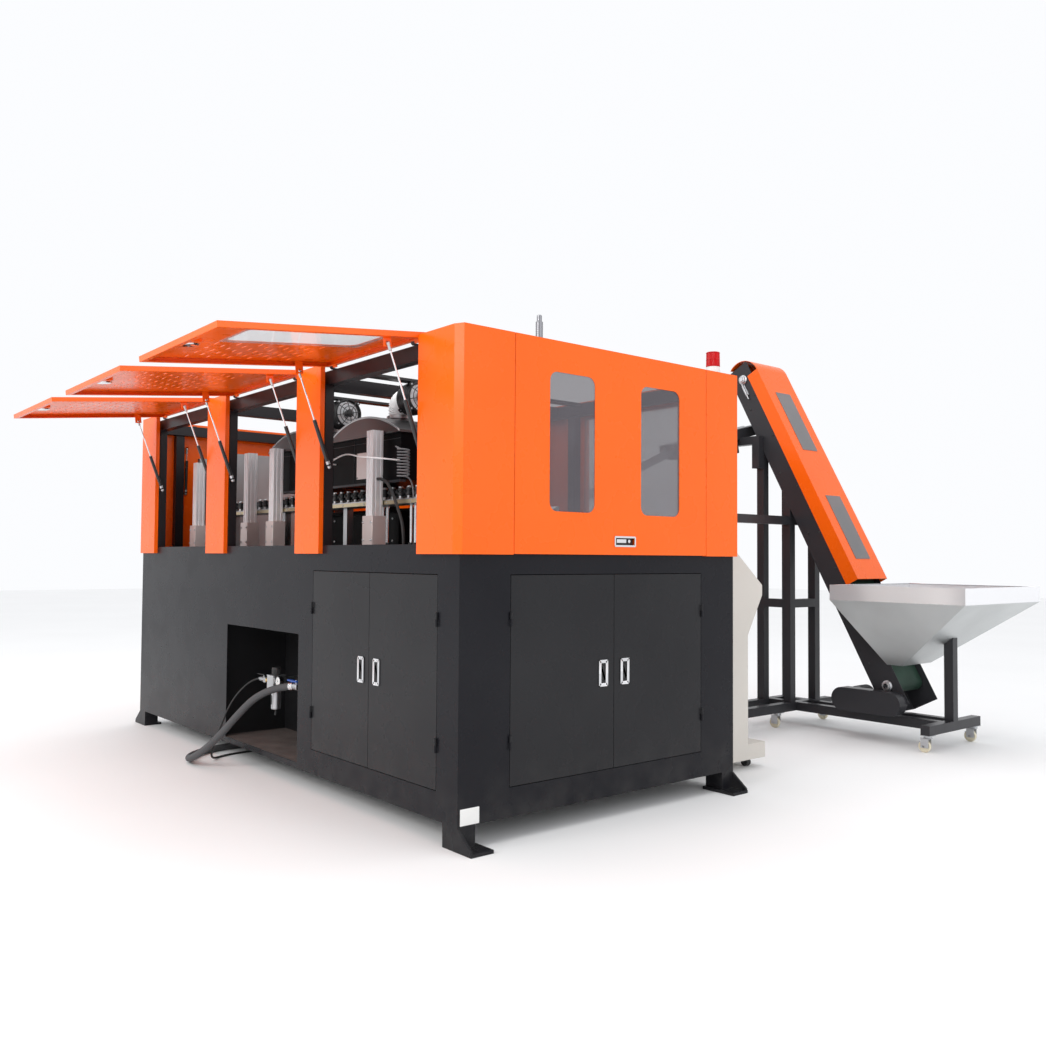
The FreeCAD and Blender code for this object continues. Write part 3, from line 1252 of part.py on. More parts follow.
clamp_items = []
tie_spots = []
for w in (D.clamp_front + 70, D.clamp_front + D.clamp_deep - 70):
    for z in (D.base_top + 110, D.clamp_high - 90):
        tie_spots.append((w, z))
second = D.clamp_start + D.clamp_long + D.clamp_gap
for index, l0 in enumerate((D.clamp_start, second)):
    clamp_items.append(slab("clamp_plate_%d" % index, l0, l0 + D.clamp_long * 0.6,
                            D.clamp_front, D.clamp_front + D.clamp_deep, D.base_top,
                            D.clamp_high))
for index, (w, z) in enumerate(tie_spots):
    clamp_items.append(bar("tie_%d" % index, "X", along(second + 1), across(w), z,
                           D.tie_radius, D.clamp_gap + D.clamp_long * 0.5))
node("clamp_frame", fuse("clamp_frame", clamp_items))
holes = []
for index, (w, z) in enumerate(tie_spots):
    holes.append(bar("tie_hole_%d" % index, "X",
                     along(D.platen_start + D.platen_long + 1), across(w), z,
                     D.tie_radius + D.tie_fit, D.platen_long + 2))
node("mould_platen", carve("mould_platen", slab(
    "platen_plate", D.platen_start, D.platen_start + D.platen_long,
    D.clamp_front + 10, D.clamp_front + D.clamp_deep - 10, D.base_top + 30,
    D.clamp_high - 20), holes))

# ------------------------------------------------------------- air preparation

air_w = D.air_across
air_z = D.filter_level
body_half = D.filter_side / 2
filter_items = [
    slab("filter_body", D.filter_along - body_half, D.filter_along + body_half,
         air_w - body_half, air_w + body_half, air_z - D.filter_high / 2,
         air_z + D.filter_high / 2),
    bar("filter_bowl", "Z", along(D.filter_along), across(air_w),
        air_z - D.filter_high / 2 - D.bowl_high, D.bowl_radius, D.bowl_high + 1),
    bar("gauge", "Y", along(D.filter_along - body_half - D.gauge_radius - 4),
        across(air_w - D.gauge_deep), air_z + 10, D.gauge_radius, D.gauge_deep),
    bar("air_pipe", "X", along(D.filter_along + 210), across(air_w), air_z, 8,
        size(211) - body_half),
    bar("air_pipe_nut", "X", along(D.filter_along + 190), across(air_w), air_z, 12,
        22),
    bar("bowl_drain", "Z", along(D.filter_along), across(air_w),
        air_z - D.filter_high / 2 - D.bowl_high - 34, 5, 36),
    bar("gauge_neck", "X", along(D.filter_along - body_half + 1), across(air_w - 10),
        air_z + 10, 6, size(6)),
    slab("air_pipe_end", D.filter_along + 112, D.filter_along + 140, air_w - 14,
         air_w + 14, air_z - 14, air_z + 14),
    slab("filter_bracket", D.filter_along - 14, D.filter_along + 14,
         air_w + body_half - 1, D.recess_deep, air_z - 24, air_z + 24),
    prism("knob_stem", "Z", along(D.filter_along), across(air_w),
          air_z + D.filter_high / 2 - 1, 9, 8),
]
node("filter_regulator", fuse("filter_regulator", filter_items))
knob_z = air_z + D.filter_high / 2 + 0.4
knob = carve("regulator_knob", bar("knob_body", "Z", along(D.filter_along),
                                   across(air_w), knob_z, D.knob_radius, D.knob_high),
             [bar("knob_bore", "Z", along(D.filter_along), across(air_w), knob_z - 1,
                  9.05, 9.2)])
node("regulator_knob", knob)

valve_l = D.valve_along
valve = fuse("ball_valve", [
    bar("valve_body", "X", along(valve_l + 30), across(air_w), air_z, D.valve_radius,
        60),
    bar("valve_stem", "Z", along(valve_l), across(air_w), air_z, 7,
          D.valve_radius + 16),
    slab("valve_bracket", valve_l - 12, valve_l + 12, air_w + 6, D.recess_deep,
         air_z - 9, air_z + 9)])
node("ball_valve", valve)
handle_z = air_z + D.valve_radius + 4
handle = carve("valve_handle", slab("handle_bar", valve_l - 14, valve_l + 90,
                                    air_w - 11, air_w + 11, handle_z, handle_z + 8),
               [bar("handle_bore", "Z", along(valve_l), across(air_w), handle_z - 1,
                    7.05, 10)])
node("valve_handle", handle)


def tube(name, points, radius):
    """Round hose on straight runs joined by tangent arcs; machine coordinates."""
    spots = [FreeCAD.Vector(along(a).value, across(b).value, size(c).value)
             for a, b, c in points]
    edges = []
    start = spots[0]
    total = 0.0
    for index in range(1, len(spots) - 1):
        before = spots[index] - spots[index - 1]
        after = spots[index + 1] - spots[index]
        turn = before.getAngle(after)
        run = min(before.Length, after.Length)
        back = 0.45 * run
        reach = back / math.tan(turn / 2)
        before.normalize()
        after.normalize()
        first = spots[index] - before * back
        last = spots[index] + after * back
        inward = after - before
        inward.normalize()
        centre = spots[index] + inward * (reach / math.cos(turn / 2))
        middle = centre - inward * reach
        edges.append(Part.makeLine(start, first))
        edges.append(Part.Arc(first, middle, last).toShape())
        total += start.distanceToPoint(first) + reach * turn
        start = last
        print("   %s bend %d: turn %.0f deg, radius %.0f" % (
            name, index, math.degrees(turn), reach))
    edges.append(Part.makeLine(start, spots[-1]))
    total += start.distanceToPoint(spots[-1])
    path = Part.Wire(edges)
    way = spots[1] - spots[0]
    ring = Part.Wire(Part.makeCircle(radius.value, spots[0], way))
    solid = path.makePipeShell([ring], True, True)
    if solid.Volume < 0:
        solid.reverse()
    item = doc.addObject("Part::Feature", name)
    item.Shape = solid
    item.Placement = FreeCAD.Placement()
    share = solid.Volume / (math.pi * radius.value ** 2 * total)
    print("   %s length %.0f mm, volume share %.4f" % (name, total, share))
    return item


hose_z = D.hose_radius + 0.3
hose_start = valve_l + 30
HOSE = [(hose_start, air_w, air_z),
        (hose_start + 68, air_w - 28, air_z - 9),
        (hose_start + 136, air_w - 84, air_z - 33),
        (hose_start + 198, air_w - 132, air_z - 74),
        (hose_start + 252, air_w - 166, air_z - 128),
        (hose_start + 300, air_w - 198, air_z - 186),
        (hose_start + 340, air_w - 231, air_z - 244),
        (hose_start + 382, air_w - 262, air_z - 299),
        (hose_start + 429, air_w - 290, air_z - 348),
        (hose_start + 486, air_w - 312, air_z - 391),
        (hose_start + 554, air_w - 326, air_z - 427),
        (hose_start + 632, air_w - 326, air_z - 453.5),
        (hose_start + 718, air_w - 305, air_z - 467.5),
        (hose_start + 800, air_w - 252, hose_z),
        (hose_start + 865, air_w - 170, hose_z),
        (hose_start + 908, air_w - 70, hose_z),
        (hose_start + 928, air_w + 45, hose_z),
        (hose_start + 930, air_w + 165, hose_z)]
node("supply_hose", tube("supply_hose", HOSE, D.hose_radius))
drain_z = D.drain_radius + 0.3
line_start = D.filter_along + 210
LINE = [(line_start, air_w, air_z),
        (line_start + 65, air_w - 3, air_z - 12),
        (line_start + 125, air_w - 20, air_z - 42),
        (line_start + 162, air_w - 55, air_z - 90),
        (line_start + 170, air_w - 95, air_z - 145),
        (line_start + 157, air_w - 135, air_z - 205),
        (line_start + 146, air_w - 170, air_z - 272),
        (line_start + 146, air_w - 198, air_z - 340),
        (line_start + 164, air_w - 212, air_z - 405),
        (line_start + 202, air_w - 203, air_z - 455),
        (line_start + 252, air_w - 166, air_z - 481.5),
        (line_start + 295, air_w - 105, drain_z),
        (line_start + 322, air_w - 30, drain_z),
        (line_start + 334, air_w + 55, drain_z),
        (line_start + 332, air_w + 140, drain_z)]
node("drain_tube", tube("drain_tube", LINE, D.drain_radius))
wire_start = D.oven_start + 670
wire_w = D.oven_front - 0.3
wire_z = D.oven_low + 120
WIRE = [(wire_start, wire_w, wire_z),
        (wire_start - 2, wire_w - 100, wire_z + 2),
        (wire_start - 110, wire_w - 107, wire_z - 10),
        (wire_start - 225, wire_w - 104, wire_z + 22),
        (wire_start - 320, wire_w - 106, wire_z + 28),
        (wire_start - 435, wire_w - 104, wire_z + 4),
        (wire_start - 550, wire_w - 106, wire_z - 8),
        (wire_start - 655, wire_w - 100, wire_z - 20),
        (wire_start - 657, wire_w, wire_z - 22)]
pipe_end = D.bay_a_end - 123.3
pipe_w = D.profile_front - 60
CONDUIT = [(pipe_end - 250, pipe_w, D.base_top + 0.3),
           (pipe_end - 249, pipe_w, D.base_top + 90),
           (pipe_end - 195, pipe_w, D.base_top + 185),
           (pipe_end - 135, pipe_w, D.base_top + 275),
           (pipe_end - 68, pipe_w, D.base_top + 338),
           (pipe_end, pipe_w, D.base_top + 340)]
node("cables", gather("cables", [tube("oven_wire", WIRE, size(4)),
                                 tube("conduit", CONDUIT, size(8))]))
tip = HOSE[-1]
tail = HOSE[-2]
run = FreeCAD.Vector(along(tip[0]).value - along(tail[0]).value,
                     across(tip[1]).value - across(tail[1]).value, 0)
coupling = bar("coupling_body", "X", 0, 0, 0, D.hose_radius + 2, D.coupling_long)
collar_ring = bar("coupling_ring", "X", D.coupling_long - 1, 0, 0, D.hose_radius * 0.7,
                  24)
unit = fuse("coupling_unit", [coupling, collar_ring])
turned = gather("hose_coupling", [unit])
yaw = math.degrees(math.atan2(run.y, run.x))
place(turned, along(tip[0]), across(tip[1]), D.hose_radius + 2.2, (0, 0, 1), yaw)
node("hose_coupling", turned)

# ------------------------------------------------------------ checks and writing

doc.recompute()
doc.recompute()
for item in doc.Objects:
    for word in item.State:
        if word in ("Invalid", "Error"):
            raise RuntimeError("%s is %s" % (item.Name, word))
os.makedirs("parts", exist_ok=True)
for name, item in parts.items():
    shape = item.Shape
    if shape.isNull() or not shape.isValid() or not shape.Solids:
        raise RuntimeError("%s has no valid solid" % name)
    shape.exportStep("parts/%s.step" % name)
    box = shape.BoundBox
    print("%-26s %2d solids %10.0f cm3  X %6.0f %6.0f  Y %6.0f %6.0f  Z %6.0f %6.0f" % (
        name, len(shape.Solids), shape.Volume / 1000, box.XMin, box.XMax, box.YMin,
        box.YMax, box.ZMin, box.ZMax))
print(len(parts), "nodes")
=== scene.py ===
import math
import bmesh
import bpy
from mathutils import Matrix, Vector


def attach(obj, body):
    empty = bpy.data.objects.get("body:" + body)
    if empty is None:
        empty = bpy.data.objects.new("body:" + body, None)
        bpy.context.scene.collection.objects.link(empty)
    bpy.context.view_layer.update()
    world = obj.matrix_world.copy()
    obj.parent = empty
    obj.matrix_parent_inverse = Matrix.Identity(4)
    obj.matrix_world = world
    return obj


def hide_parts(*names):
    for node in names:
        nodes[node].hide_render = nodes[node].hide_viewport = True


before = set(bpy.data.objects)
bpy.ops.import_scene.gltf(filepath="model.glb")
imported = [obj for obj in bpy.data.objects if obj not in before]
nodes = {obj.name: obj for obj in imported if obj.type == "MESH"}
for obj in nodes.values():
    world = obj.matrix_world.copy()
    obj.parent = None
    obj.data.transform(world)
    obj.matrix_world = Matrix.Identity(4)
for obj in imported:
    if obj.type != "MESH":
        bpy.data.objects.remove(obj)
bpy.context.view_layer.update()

# Places are given along from the near end, across from the open front, and up.
machine = {"length": 3.86, "depth": 1.765, "baseTop": 1.255}


def at(along, across, up):
    return Vector((machine["length"] / 2 - along, across - machine["depth"] / 2, up))


class Signal:
    def __init__(self, finish, socket):
        self.finish = finish
        self.socket = socket

    def sum(self, operation, first, second):
        return self.finish.add("ShaderNodeMath", {"operation": operation},
                               {0: first, 1: second})

    def __add__(self, other):
        return self.sum("ADD", self, other)

    def __radd__(self, other):
        return self.sum("ADD", other, self)

    def __sub__(self, other):
        return self.sum("SUBTRACT", self, other)

    def __rsub__(self, other):
        return self.sum("SUBTRACT", other, self)

    def __mul__(self, other):
        return self.sum("MULTIPLY", self, other)

    def __rmul__(self, other):
        return self.sum("MULTIPLY", other, self)

    def __truediv__(self, other):
        return self.sum("DIVIDE", self, other)

    def __pow__(self, other):
        return self.sum("POWER", self, other)


class Finish:
    def __init__(self, name, **constants):
        self.material = bpy.data.materials.new(name)
        self.material.use_nodes = True
        self.tree = self.material.node_tree
        self.tree.nodes.clear()
        self.output = self.tree.nodes.new("ShaderNodeOutputMaterial")
        self.shader = self.tree.nodes.new("ShaderNodeBsdfPrincipled")
        self.tree.links.new(self.shader.outputs[0], self.output.inputs[0])
        for socket, value in constants.items():
            self.shader.inputs[socket.replace("_", " ")].default_value = value
        self.place = self.add("ShaderNodeTexCoord", {}, {}, "Object")

    def add(self, kind, settings, sockets, out=0):
        node = self.tree.nodes.new(kind)
        for key, value in settings.items():
            if key == "stops":
                ramp = node.color_ramp
                for index, (position, colour) in enumerate(value):
                    stop = (ramp.elements[index] if index < len(ramp.elements)
                            else ramp.elements.new(position))
                    stop.position = position
                    stop.color = colour
            else:
                setattr(node, key, value)
        for key, value in sockets.items():
            if isinstance(value, Signal):
                self.tree.links.new(value.socket, node.inputs[key])
            else:
                node.inputs[key].default_value = value
        return Signal(self, node.outputs[out])

    def feed(self, **links):
        for socket, value in links.items():
            target = self.shader.inputs[socket.replace("_", " ")]
            self.tree.links.new(value.socket, target)
        return self

    def height(self):
        return self.add("ShaderNodeSeparateXYZ", {}, {0: self.place}, 2)

    def noise(self, scale, detail=3.0, rough=0.5, stretch=None):
        place = self.place
        if stretch:
            place = self.add("ShaderNodeMapping", {}, {"Vector": place, "Scale": stretch})
        return self.add("ShaderNodeTexNoise", {}, {"Vector": place, "Scale": scale,
                                                   "Detail": detail, "Roughness": rough})

    def ramp(self, value, low, high):
        return self.add("ShaderNodeMapRange", {"clamp": True},
                        {0: value, 1: low, 2: high, 3: 0.0, 4: 1.0})

    def blend(self, factor, first, second):
        return self.add("ShaderNodeMix", {"data_type": "RGBA"},
                        {0: factor, 6: first, 7: second}, 2)

    def bump(self, height, distance, strength=1.0, soft=None):
        sockets = {"Height": height, "Distance": distance, "Strength": strength}
        if soft:
            sockets["Normal"] = self.add("ShaderNodeBevel", {"samples": 4},
                                         {"Radius": soft})
        return self.add("ShaderNodeBump", {}, sockets)


def opaque(colour, share=1.0):
    # The colour as a socket takes it, darkened or lightened by a share.
    return (*(c * share for c in colour), 1.0)


dirt = {"colour": (0.23, 0.22, 0.20), "rise": 0.35}


def painted(name, colour, shade, rough, grain=0.00005, soft=0.003, coat=0.0, dust=0.0,
            shine=0.25):
    paint = Finish(name, Coat_Weight=coat, Coat_Roughness=0.12, Specular_IOR_Level=shine)
    cloudy = paint.noise(1.7, 4.0)
    fine = paint.noise(420.0, 2.0)
    tone = paint.blend(paint.ramp(cloudy, 0.3, 0.7), opaque(colour), opaque(shade))
    if dust:
        # Dust thins out with the height above the floor.
        low = paint.ramp(dirt["rise"] - paint.height(), 0.0, dirt["rise"])
        low = low * paint.ramp(paint.noise(9.0), 0.35, 0.7)
        tone = paint.blend(low * dust, tone, opaque(dirt["colour"]))
    wear = paint.ramp(paint.noise(6.0, 6.0), 0.35, 0.75)
    paint.feed(Base_Color=tone, Roughness=rough + wear * 0.10,
               Normal=paint.bump(fine, grain, 1.0, soft))
    return paint.material


def metal(name, colour, rough, stretch=None, soft=0.0015, streak=0.18, tint=0.85,
          polish=1.0):
    bare = Finish(name, Metallic=polish)
    lines = bare.noise(60.0, 4.0, 0.6, stretch or (1.0, 1.0, 14.0))
    cloudy = bare.noise(3.5, 3.0)
    tone = bare.blend(bare.ramp(cloudy, 0.3, 0.7), opaque(colour), opaque(colour, tint))
    bare.feed(Base_Color=tone, Roughness=rough + bare.ramp(lines, 0.3, 0.7) * streak,
              Normal=bare.bump(lines, 0.00004, 1.0, soft))
    return bare.material


def plastic(name, colour, rough, grain=0.0001, scale=300.0, tint=0.8, soft=0.001,
            shine=0.5):
    shell = Finish(name, Specular_IOR_Level=shine)
    cloudy = shell.noise(8.0, 3.0)
    tone = shell.blend(shell.ramp(cloudy, 0.35, 0.7), opaque(colour), opaque(colour, tint))
    shell.feed(Base_Color=tone, Roughness=rough + shell.ramp(cloudy, 0.3, 0.8) * 0.12,
               Normal=shell.bump(shell.noise(scale, 2.0), grain, 1.0, soft))
    return shell.material


def clearSheet(name, colour, alpha, rough):
    pane = Finish(name, IOR=1.5)
    smear = pane.ramp(pane.noise(3.0, 3.0, 0.5), 0.5, 0.9)
    tone = pane.blend(smear, opaque(colour), opaque(colour, 1.25))
    pane.feed(Base_Color=tone, Roughness=rough + smear * 0.08, Alpha=alpha + smear * 0.03)
    return pane.material


def braided(name, colour, dark, threads, diameter):
    # The braid follows the hose by the curve's own UV: U runs along it, V round it.
    sock = Finish(name)
    lie = sock.add("ShaderNodeTexCoord", {}, {}, "UV")
    weaves = []
    for turn in (1.0, -1.0):
        tilted = sock.add("ShaderNodeMapping", {}, {
            "Vector": lie, "Scale": (threads * 6.0, threads * turn, 1.0)})
        weaves.append(sock.add("ShaderNodeTexWave", {
            "bands_direction": "DIAGONAL", "wave_profile": "SIN"},
            {"Vector": tilted, "Scale": 1.0, "Distortion": 0.4, "Detail": 1.0}, 1))
    cross = sock.add("ShaderNodeMath", {"operation": "MAXIMUM"},
                     {0: weaves[0], 1: weaves[1]})
    worn = sock.ramp(sock.noise(7.0, 4.0), 0.3, 0.75)
    tone = sock.blend(cross * 0.7 + worn * 0.3, opaque(dark), opaque(colour))
    sock.feed(Base_Color=tone, Roughness=0.62 + worn * 0.2,
              Normal=sock.bump(cross, diameter * 0.02))
    return sock.material


def hopperSheet(name, satin, bright, rimLevel):
    # Satin funnel sheet whose top band round the rim is partly polished (lower roughness)
    # and partly a painted highlight (near-white colour, half as metallic).
    sheet = Finish(name, Metallic=1.0)
    band = sheet.ramp(sheet.height(), rimLevel - 0.002, rimLevel + 0.002)
    lines = sheet.noise(40.0, 4.0, 0.6, (1.0, 1.0, 18.0))
    cloudy = sheet.ramp(sheet.noise(2.6, 3.0), 0.3, 0.7)
    funnel = sheet.blend(cloudy, opaque(satin), opaque(satin, 0.86))
    # Painted highlight: above rimLevel the sheet turns near-white and less metallic.
    tone = sheet.blend(band, funnel, opaque(bright))
    sheet.feed(Base_Color=tone, Metallic=1.0 - band * 0.5,
               Roughness=0.36 - band * 0.24 + sheet.ramp(lines, 0.3, 0.7) * 0.10,
               Normal=sheet.bump(lines, 0.00003))
    return sheet.material


def dustyLiner(name, paint, soil, floorLevel):
    # Black liner of the recess, with brown dust lying on its floor.
    liner = Finish(name)
    settled = liner.ramp(floorLevel + 0.004 - liner.height(), 0.0, 0.003)
    patch = liner.ramp(liner.noise(7.0, 6.0, 0.65), 0.25, 0.75)
    crumbs = liner.noise(70.0, 4.0, 0.7)
    dust = liner.blend(patch, opaque(soil), opaque(soil, 0.45))
    walls = liner.blend(patch * 0.4, opaque(paint), opaque(paint, 1.7))
    liner.feed(Base_Color=liner.blend(settled, walls, dust),
               Roughness=0.42 + settled * 0.5,
               Normal=liner.bump(crumbs * settled, 0.004))
    return liner.material


print("finishes")
orange = painted("orange_paint", (0.95, 0.130, 0.004), (0.93, 0.120, 0.003), 0.24,
                 0.00001, 0.004, 0.08, shine=0.25)
charcoal = painted("charcoal_paint", (0.014, 0.014, 0.017), (0.010, 0.010, 0.013), 0.24,
                   0.00001, 0.004, 0.0, dust=0.10, shine=0.12)
doorPaint = painted("door_paint", (0.023, 0.023, 0.025), (0.018, 0.018, 0.020), 0.24,
                    0.00001, 0.004, 0.0, dust=0.10, shine=0.14)
frameDark = painted("frame_paint", (0.018, 0.015, 0.017), (0.012, 0.010, 0.012), 0.30,
                    0.00004, 0.003, 0.05)
ovenBlack = painted("oven_black", (0.003, 0.003, 0.004), (0.002, 0.002, 0.002), 0.35,
                    0.00001, 0.002, 0.0, shine=0.06)
standPaint = painted("stand_paint", (0.034, 0.034, 0.038), (0.026, 0.026, 0.030), 0.34,
                     0.00004, 0.003, 0.05)
cream = painted("cream_paint", (0.62, 0.585, 0.54), (0.57, 0.54, 0.495), 0.42, 0.00004,
                0.003)
# The second colour is the painted highlight of the hopper's top band, besides its polish.
steel = hopperSheet("stainless_sheet", (0.58, 0.60, 0.60), (0.90, 0.90, 0.92), 0.935)
hoodSteel = metal("hood_sheet", (0.15, 0.142, 0.145), 0.28, (10.0, 1.0, 1.0), None)
machined = metal("machined_steel", (0.52, 0.53, 0.54), 0.26)
chrome = metal("chrome_plate", (0.80, 0.80, 0.82), 0.06, streak=0.05)
zinc = metal("zinc_plate", (0.60, 0.61, 0.63), 0.30, streak=0.2)
aluminium = metal("anodised_aluminium", (0.90, 0.90, 0.92), 0.34, (1.0, 1.0, 0.05),
                  streak=0.06, tint=0.94, polish=0.35)
brass = metal("turned_brass", (0.78, 0.56, 0.25), 0.28)
blackPlastic = plastic("black_plastic", (0.018, 0.018, 0.019), 0.38)
greyRubber = plastic("grey_rubber", (0.20, 0.20, 0.21), 0.40, 0.0001, 400.0)
rubber = plastic("black_rubber", (0.02, 0.02, 0.021), 0.55, 0.0002, 500.0)
white = plastic("white_duct", (0.93, 0.93, 0.94), 0.45, 0.0002, 60.0, 0.97)
creamWheel = plastic("cream_wheel", (0.74, 0.68, 0.52), 0.4)
redLens = plastic("red_lens", (0.55, 0.002, 0.004), 0.16, 0.00003, shine=0.18)
blue = plastic("blue_plastic", (0.015, 0.085, 0.42), 0.28)
green = plastic("green_belt", (0.014, 0.040, 0.026), 0.5, 0.0003, 200.0, shine=0.25)
barrel = plastic("strut_barrel", (0.014, 0.014, 0.015), 0.22, 0.00003)
clearPane = clearSheet("clear_pane", (0.62, 0.64, 0.66), 0.30, 0.04)
smokedPane = clearSheet("smoked_pane", (0.115, 0.105, 0.12), 0.55, 0.02)
greyPane = clearSheet("grey_pane", (0.17, 0.165, 0.17), 0.88, 0.10)
whiteShell = plastic("white_shell", (0.82, 0.82, 0.80), 0.35, 0.0001, 200.0, 0.94)
pinkAluminium = metal("raw_aluminium", (0.80, 0.72, 0.70), 0.34, (1.0, 14.0, 1.0),
                      polish=0.45)
dullSteel = metal("dull_steel", (0.30, 0.30, 0.32), 0.30, streak=0.15)
yellowZinc = metal("yellow_zinc", (0.62, 0.54, 0.36), 0.30)
greyHose = braided("grey_braid", (0.105, 0.105, 0.110), (0.035, 0.035, 0.038), 20.0, 0.04)
recessPaint = dustyLiner("recess_liner", (0.007, 0.007, 0.008), (0.135, 0.105, 0.095),
                         0.130)

dress = {
    charcoal: ["base_cabinet"],
    doorPaint: ["front_door_a", "front_door_b", "end_door_a", "end_door_b"],
    frameDark: ["front_frame", "rear_frame", "cross_frames"],
    recessPaint: ["recess_box"],
    ovenBlack: ["oven_body"],
    orange: ["fixed_covers", "gull_door_1", "gull_door_2",
             "gull_door_3", "lift_door", "far_lift_door", "elevator_cover"],
    standPaint: ["elevator_stand", "elevator_trough", "drive_units"],
    clearPane: ["gull_window"],
    smokedPane: ["lift_windows", "fixed_windows"],
    barrel: ["strut_cylinders_1", "strut_cylinders_2", "strut_cylinders_3",
             "lift_door_cylinders", "far_lift_door_cylinders"],
    chrome: ["strut_rods_1", "strut_rods_2", "strut_rods_3", "lift_door_rods",
             "far_lift_door_rods", "head_shaft", "tail_shaft", "silencer"],
    hoodSteel: ["oven_hoods"],
    machined: ["preform_rail", "clamp_frame", "mould_platen", "slide_rail",
               "sorter_roller_a", "sorter_roller_b", "filter_regulator"],
    aluminium: ["profile_posts", "fan_impellers"],
    steel: ["hopper"],
    zinc: ["casters", "hose_coupling", "ball_valve"],
    cream: ["console_cabinet"],
    redLens: ["beacon"],
    green: ["elevator_belt"],
    blackPlastic: ["fan_housings", "regulator_knob"],
    white: ["air_ducts"],
    blue: ["valve_handle"],
    rubber: ["drain_tube", "cables"],
    greyHose: ["supply_hose"],
}
for material, names in dress.items():
    for name in names:
        for slot in nodes[name].material_slots:
            slot.material = material


print("camera")
view = {"place": (5.1723, -3.2251, 1.2012), "yaw": 39.541, "pitch": 2.044,
        "roll": 0.0068918, "lens": 33.507, "sensor": 36.0, "reach": 100.0}


def aimCamera():
    yaw, pitch = math.radians(view["yaw"]), math.radians(view["pitch"])
    ahead = Vector((-math.cos(yaw) * math.cos(pitch), math.sin(yaw) * math.cos(pitch),
                    math.sin(pitch)))
    side = ahead.cross(Vector((0, 0, 1))).normalized()
    above = side.cross(ahead)
    turn, tip = math.cos(view["roll"]), math.sin(view["roll"])
    right = side * turn + above * tip
    up = above * turn - side * tip
    camera = bpy.data.objects.new("camera", bpy.data.cameras.new("camera"))
    bpy.context.scene.collection.objects.link(camera)
    camera.data.sensor_fit = "HORIZONTAL"
    camera.data.sensor_width = view["sensor"]
    camera.data.lens = view["lens"]
    camera.data.clip_end = view["reach"]
    camera.matrix_world = Matrix((
        (right.x, up.x, -ahead.x, view["place"][0]),
        (right.y, up.y, -ahead.y, view["place"][1]),
        (right.z, up.z, -ahead.z, view["place"][2]), (0, 0, 0, 1)))
    bpy.context.scene.camera = camera


aimCamera()

studio = {"floor": 60.0, "floorTones": ((0.93, 0.93, 0.93), (0.91, 0.91, 0.91)),
          "floorRough": 0.7, "sky": 1.0, "skyColour": (0.97, 0.98, 1.0, 1.0)}
lights = {"key_light": {"place": (1.5, -8.0, 5.0), "aim": (0, 0, 1.2), "size": (5.0, 3.5),
                        "power": 330.0, "tint": (1.0, 0.985, 0.96)},
          "fill_light": {"place": (9.0, 1.0, 3.2), "aim": (1.5, 0, 1.2), "size": (4.0, 4.0),
                         "power": 90.0, "tint": (0.96, 0.98, 1.0)},
          "top_light": {"place": (0.0, 0.5, 7.5), "aim": (0, 0.2, 1.0), "size": (7.0, 5.0),
                        "power": 120.0, "tint": (1.0, 1.0, 1.0)}}


def studioFloor():
    bm = bmesh.new()
    bmesh.ops.create_grid(bm, x_segments=1, y_segments=1, size=studio["floor"] / 2)
    mesh = bpy.data.meshes.new("studio_floor")
    bm.to_mesh(mesh)
    bm.free()
    floor = bpy.data.objects.new("studio_floor", mesh)
    bpy.context.scene.collection.objects.link(floor)
    pale = Finish("studio_floor", Roughness=studio["floorRough"])
    first, second = studio["floorTones"]
    pale.feed(Base_Color=pale.blend(pale.ramp(pale.noise(0.6, 3.0), 0.3, 0.7),
                                    opaque(first), opaque(second)))
    mesh.materials.append(pale.material)


def softBox(name, form):
    light = bpy.data.lights.new(name, "AREA")
    light.shape = "RECTANGLE"
    light.size, light.size_y = form["size"]
    light.energy = form["power"]
    light.color = form["tint"]
    lamp = bpy.data.objects.new(name, light)
    bpy.context.scene.collection.objects.link(lamp)
    lamp.location = form["place"]
    beam = Vector(form["aim"]) - Vector(form["place"])
    lamp.rotation_euler = beam.to_track_quat("-Z", "Y").to_euler()


studioFloor()
for name, form in lights.items():
    softBox(name, form)
world = bpy.data.worlds.new("studio")
bpy.context.scene.world = world
bpy.context.scene.view_settings.view_transform = "Standard"
world.use_nodes = True
sky = world.node_tree.nodes["Background"]
sky.inputs[0].default_value = studio["skyColour"]
sky.inputs[1].default_value = studio["sky"]

welding = {"doubles": 1e-6, "sharpFrom": 32.0, "bevelFrom": 40.0}


def frameOf(spot, out, up=(0, 0, 1)):
    # Matrix whose Z looks out of a face and whose Y points up it.
    out = Vector(out).normalized()
    side = Vector(up).cross(out)
    side = side.normalized() if side.length > 1e-6 else Vector((1, 0, 0))
    rise = out.cross(side)
    return Matrix(((side.x, rise.x, out.x, spot[0]), (side.y, rise.y, out.y, spot[1]),
                   (side.z, rise.z, out.z, spot[2]), (0, 0, 0, 1)))


def shifted(x, y, z):
    return Matrix.Translation((x, y, z))


def piece(name, bm, materials, body, bevel=0.0):
    bmesh.ops.remove_doubles(bm, verts=bm.verts, dist=welding["doubles"])
    bmesh.ops.recalc_face_normals(bm, faces=bm.faces)
    mesh = bpy.data.meshes.new(name)
    bm.to_mesh(mesh)
    bm.free()
    for material in materials:
        mesh.materials.append(material)
    mesh.shade_smooth()
    mesh.set_sharp_from_angle(angle=math.radians(welding["sharpFrom"]))
    made = bpy.data.objects.new(name, mesh)
    bpy.context.scene.collection.objects.link(made)
    if bevel:
        edge = made.modifiers.new("edge", "BEVEL")
        edge.width = bevel
        edge.segments = 2
        edge.limit_method = "ANGLE"
        edge.angle_limit = math.radians(welding["bevelFrom"])
    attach(made, body)
    return made


def vertsOf(geometry):
    return [item for item in geometry if isinstance(item, bmesh.types.BMVert)]


def colourRound(verts, index):
    for face in {face for vert in verts for face in vert.link_faces}:
        face.material_index = index


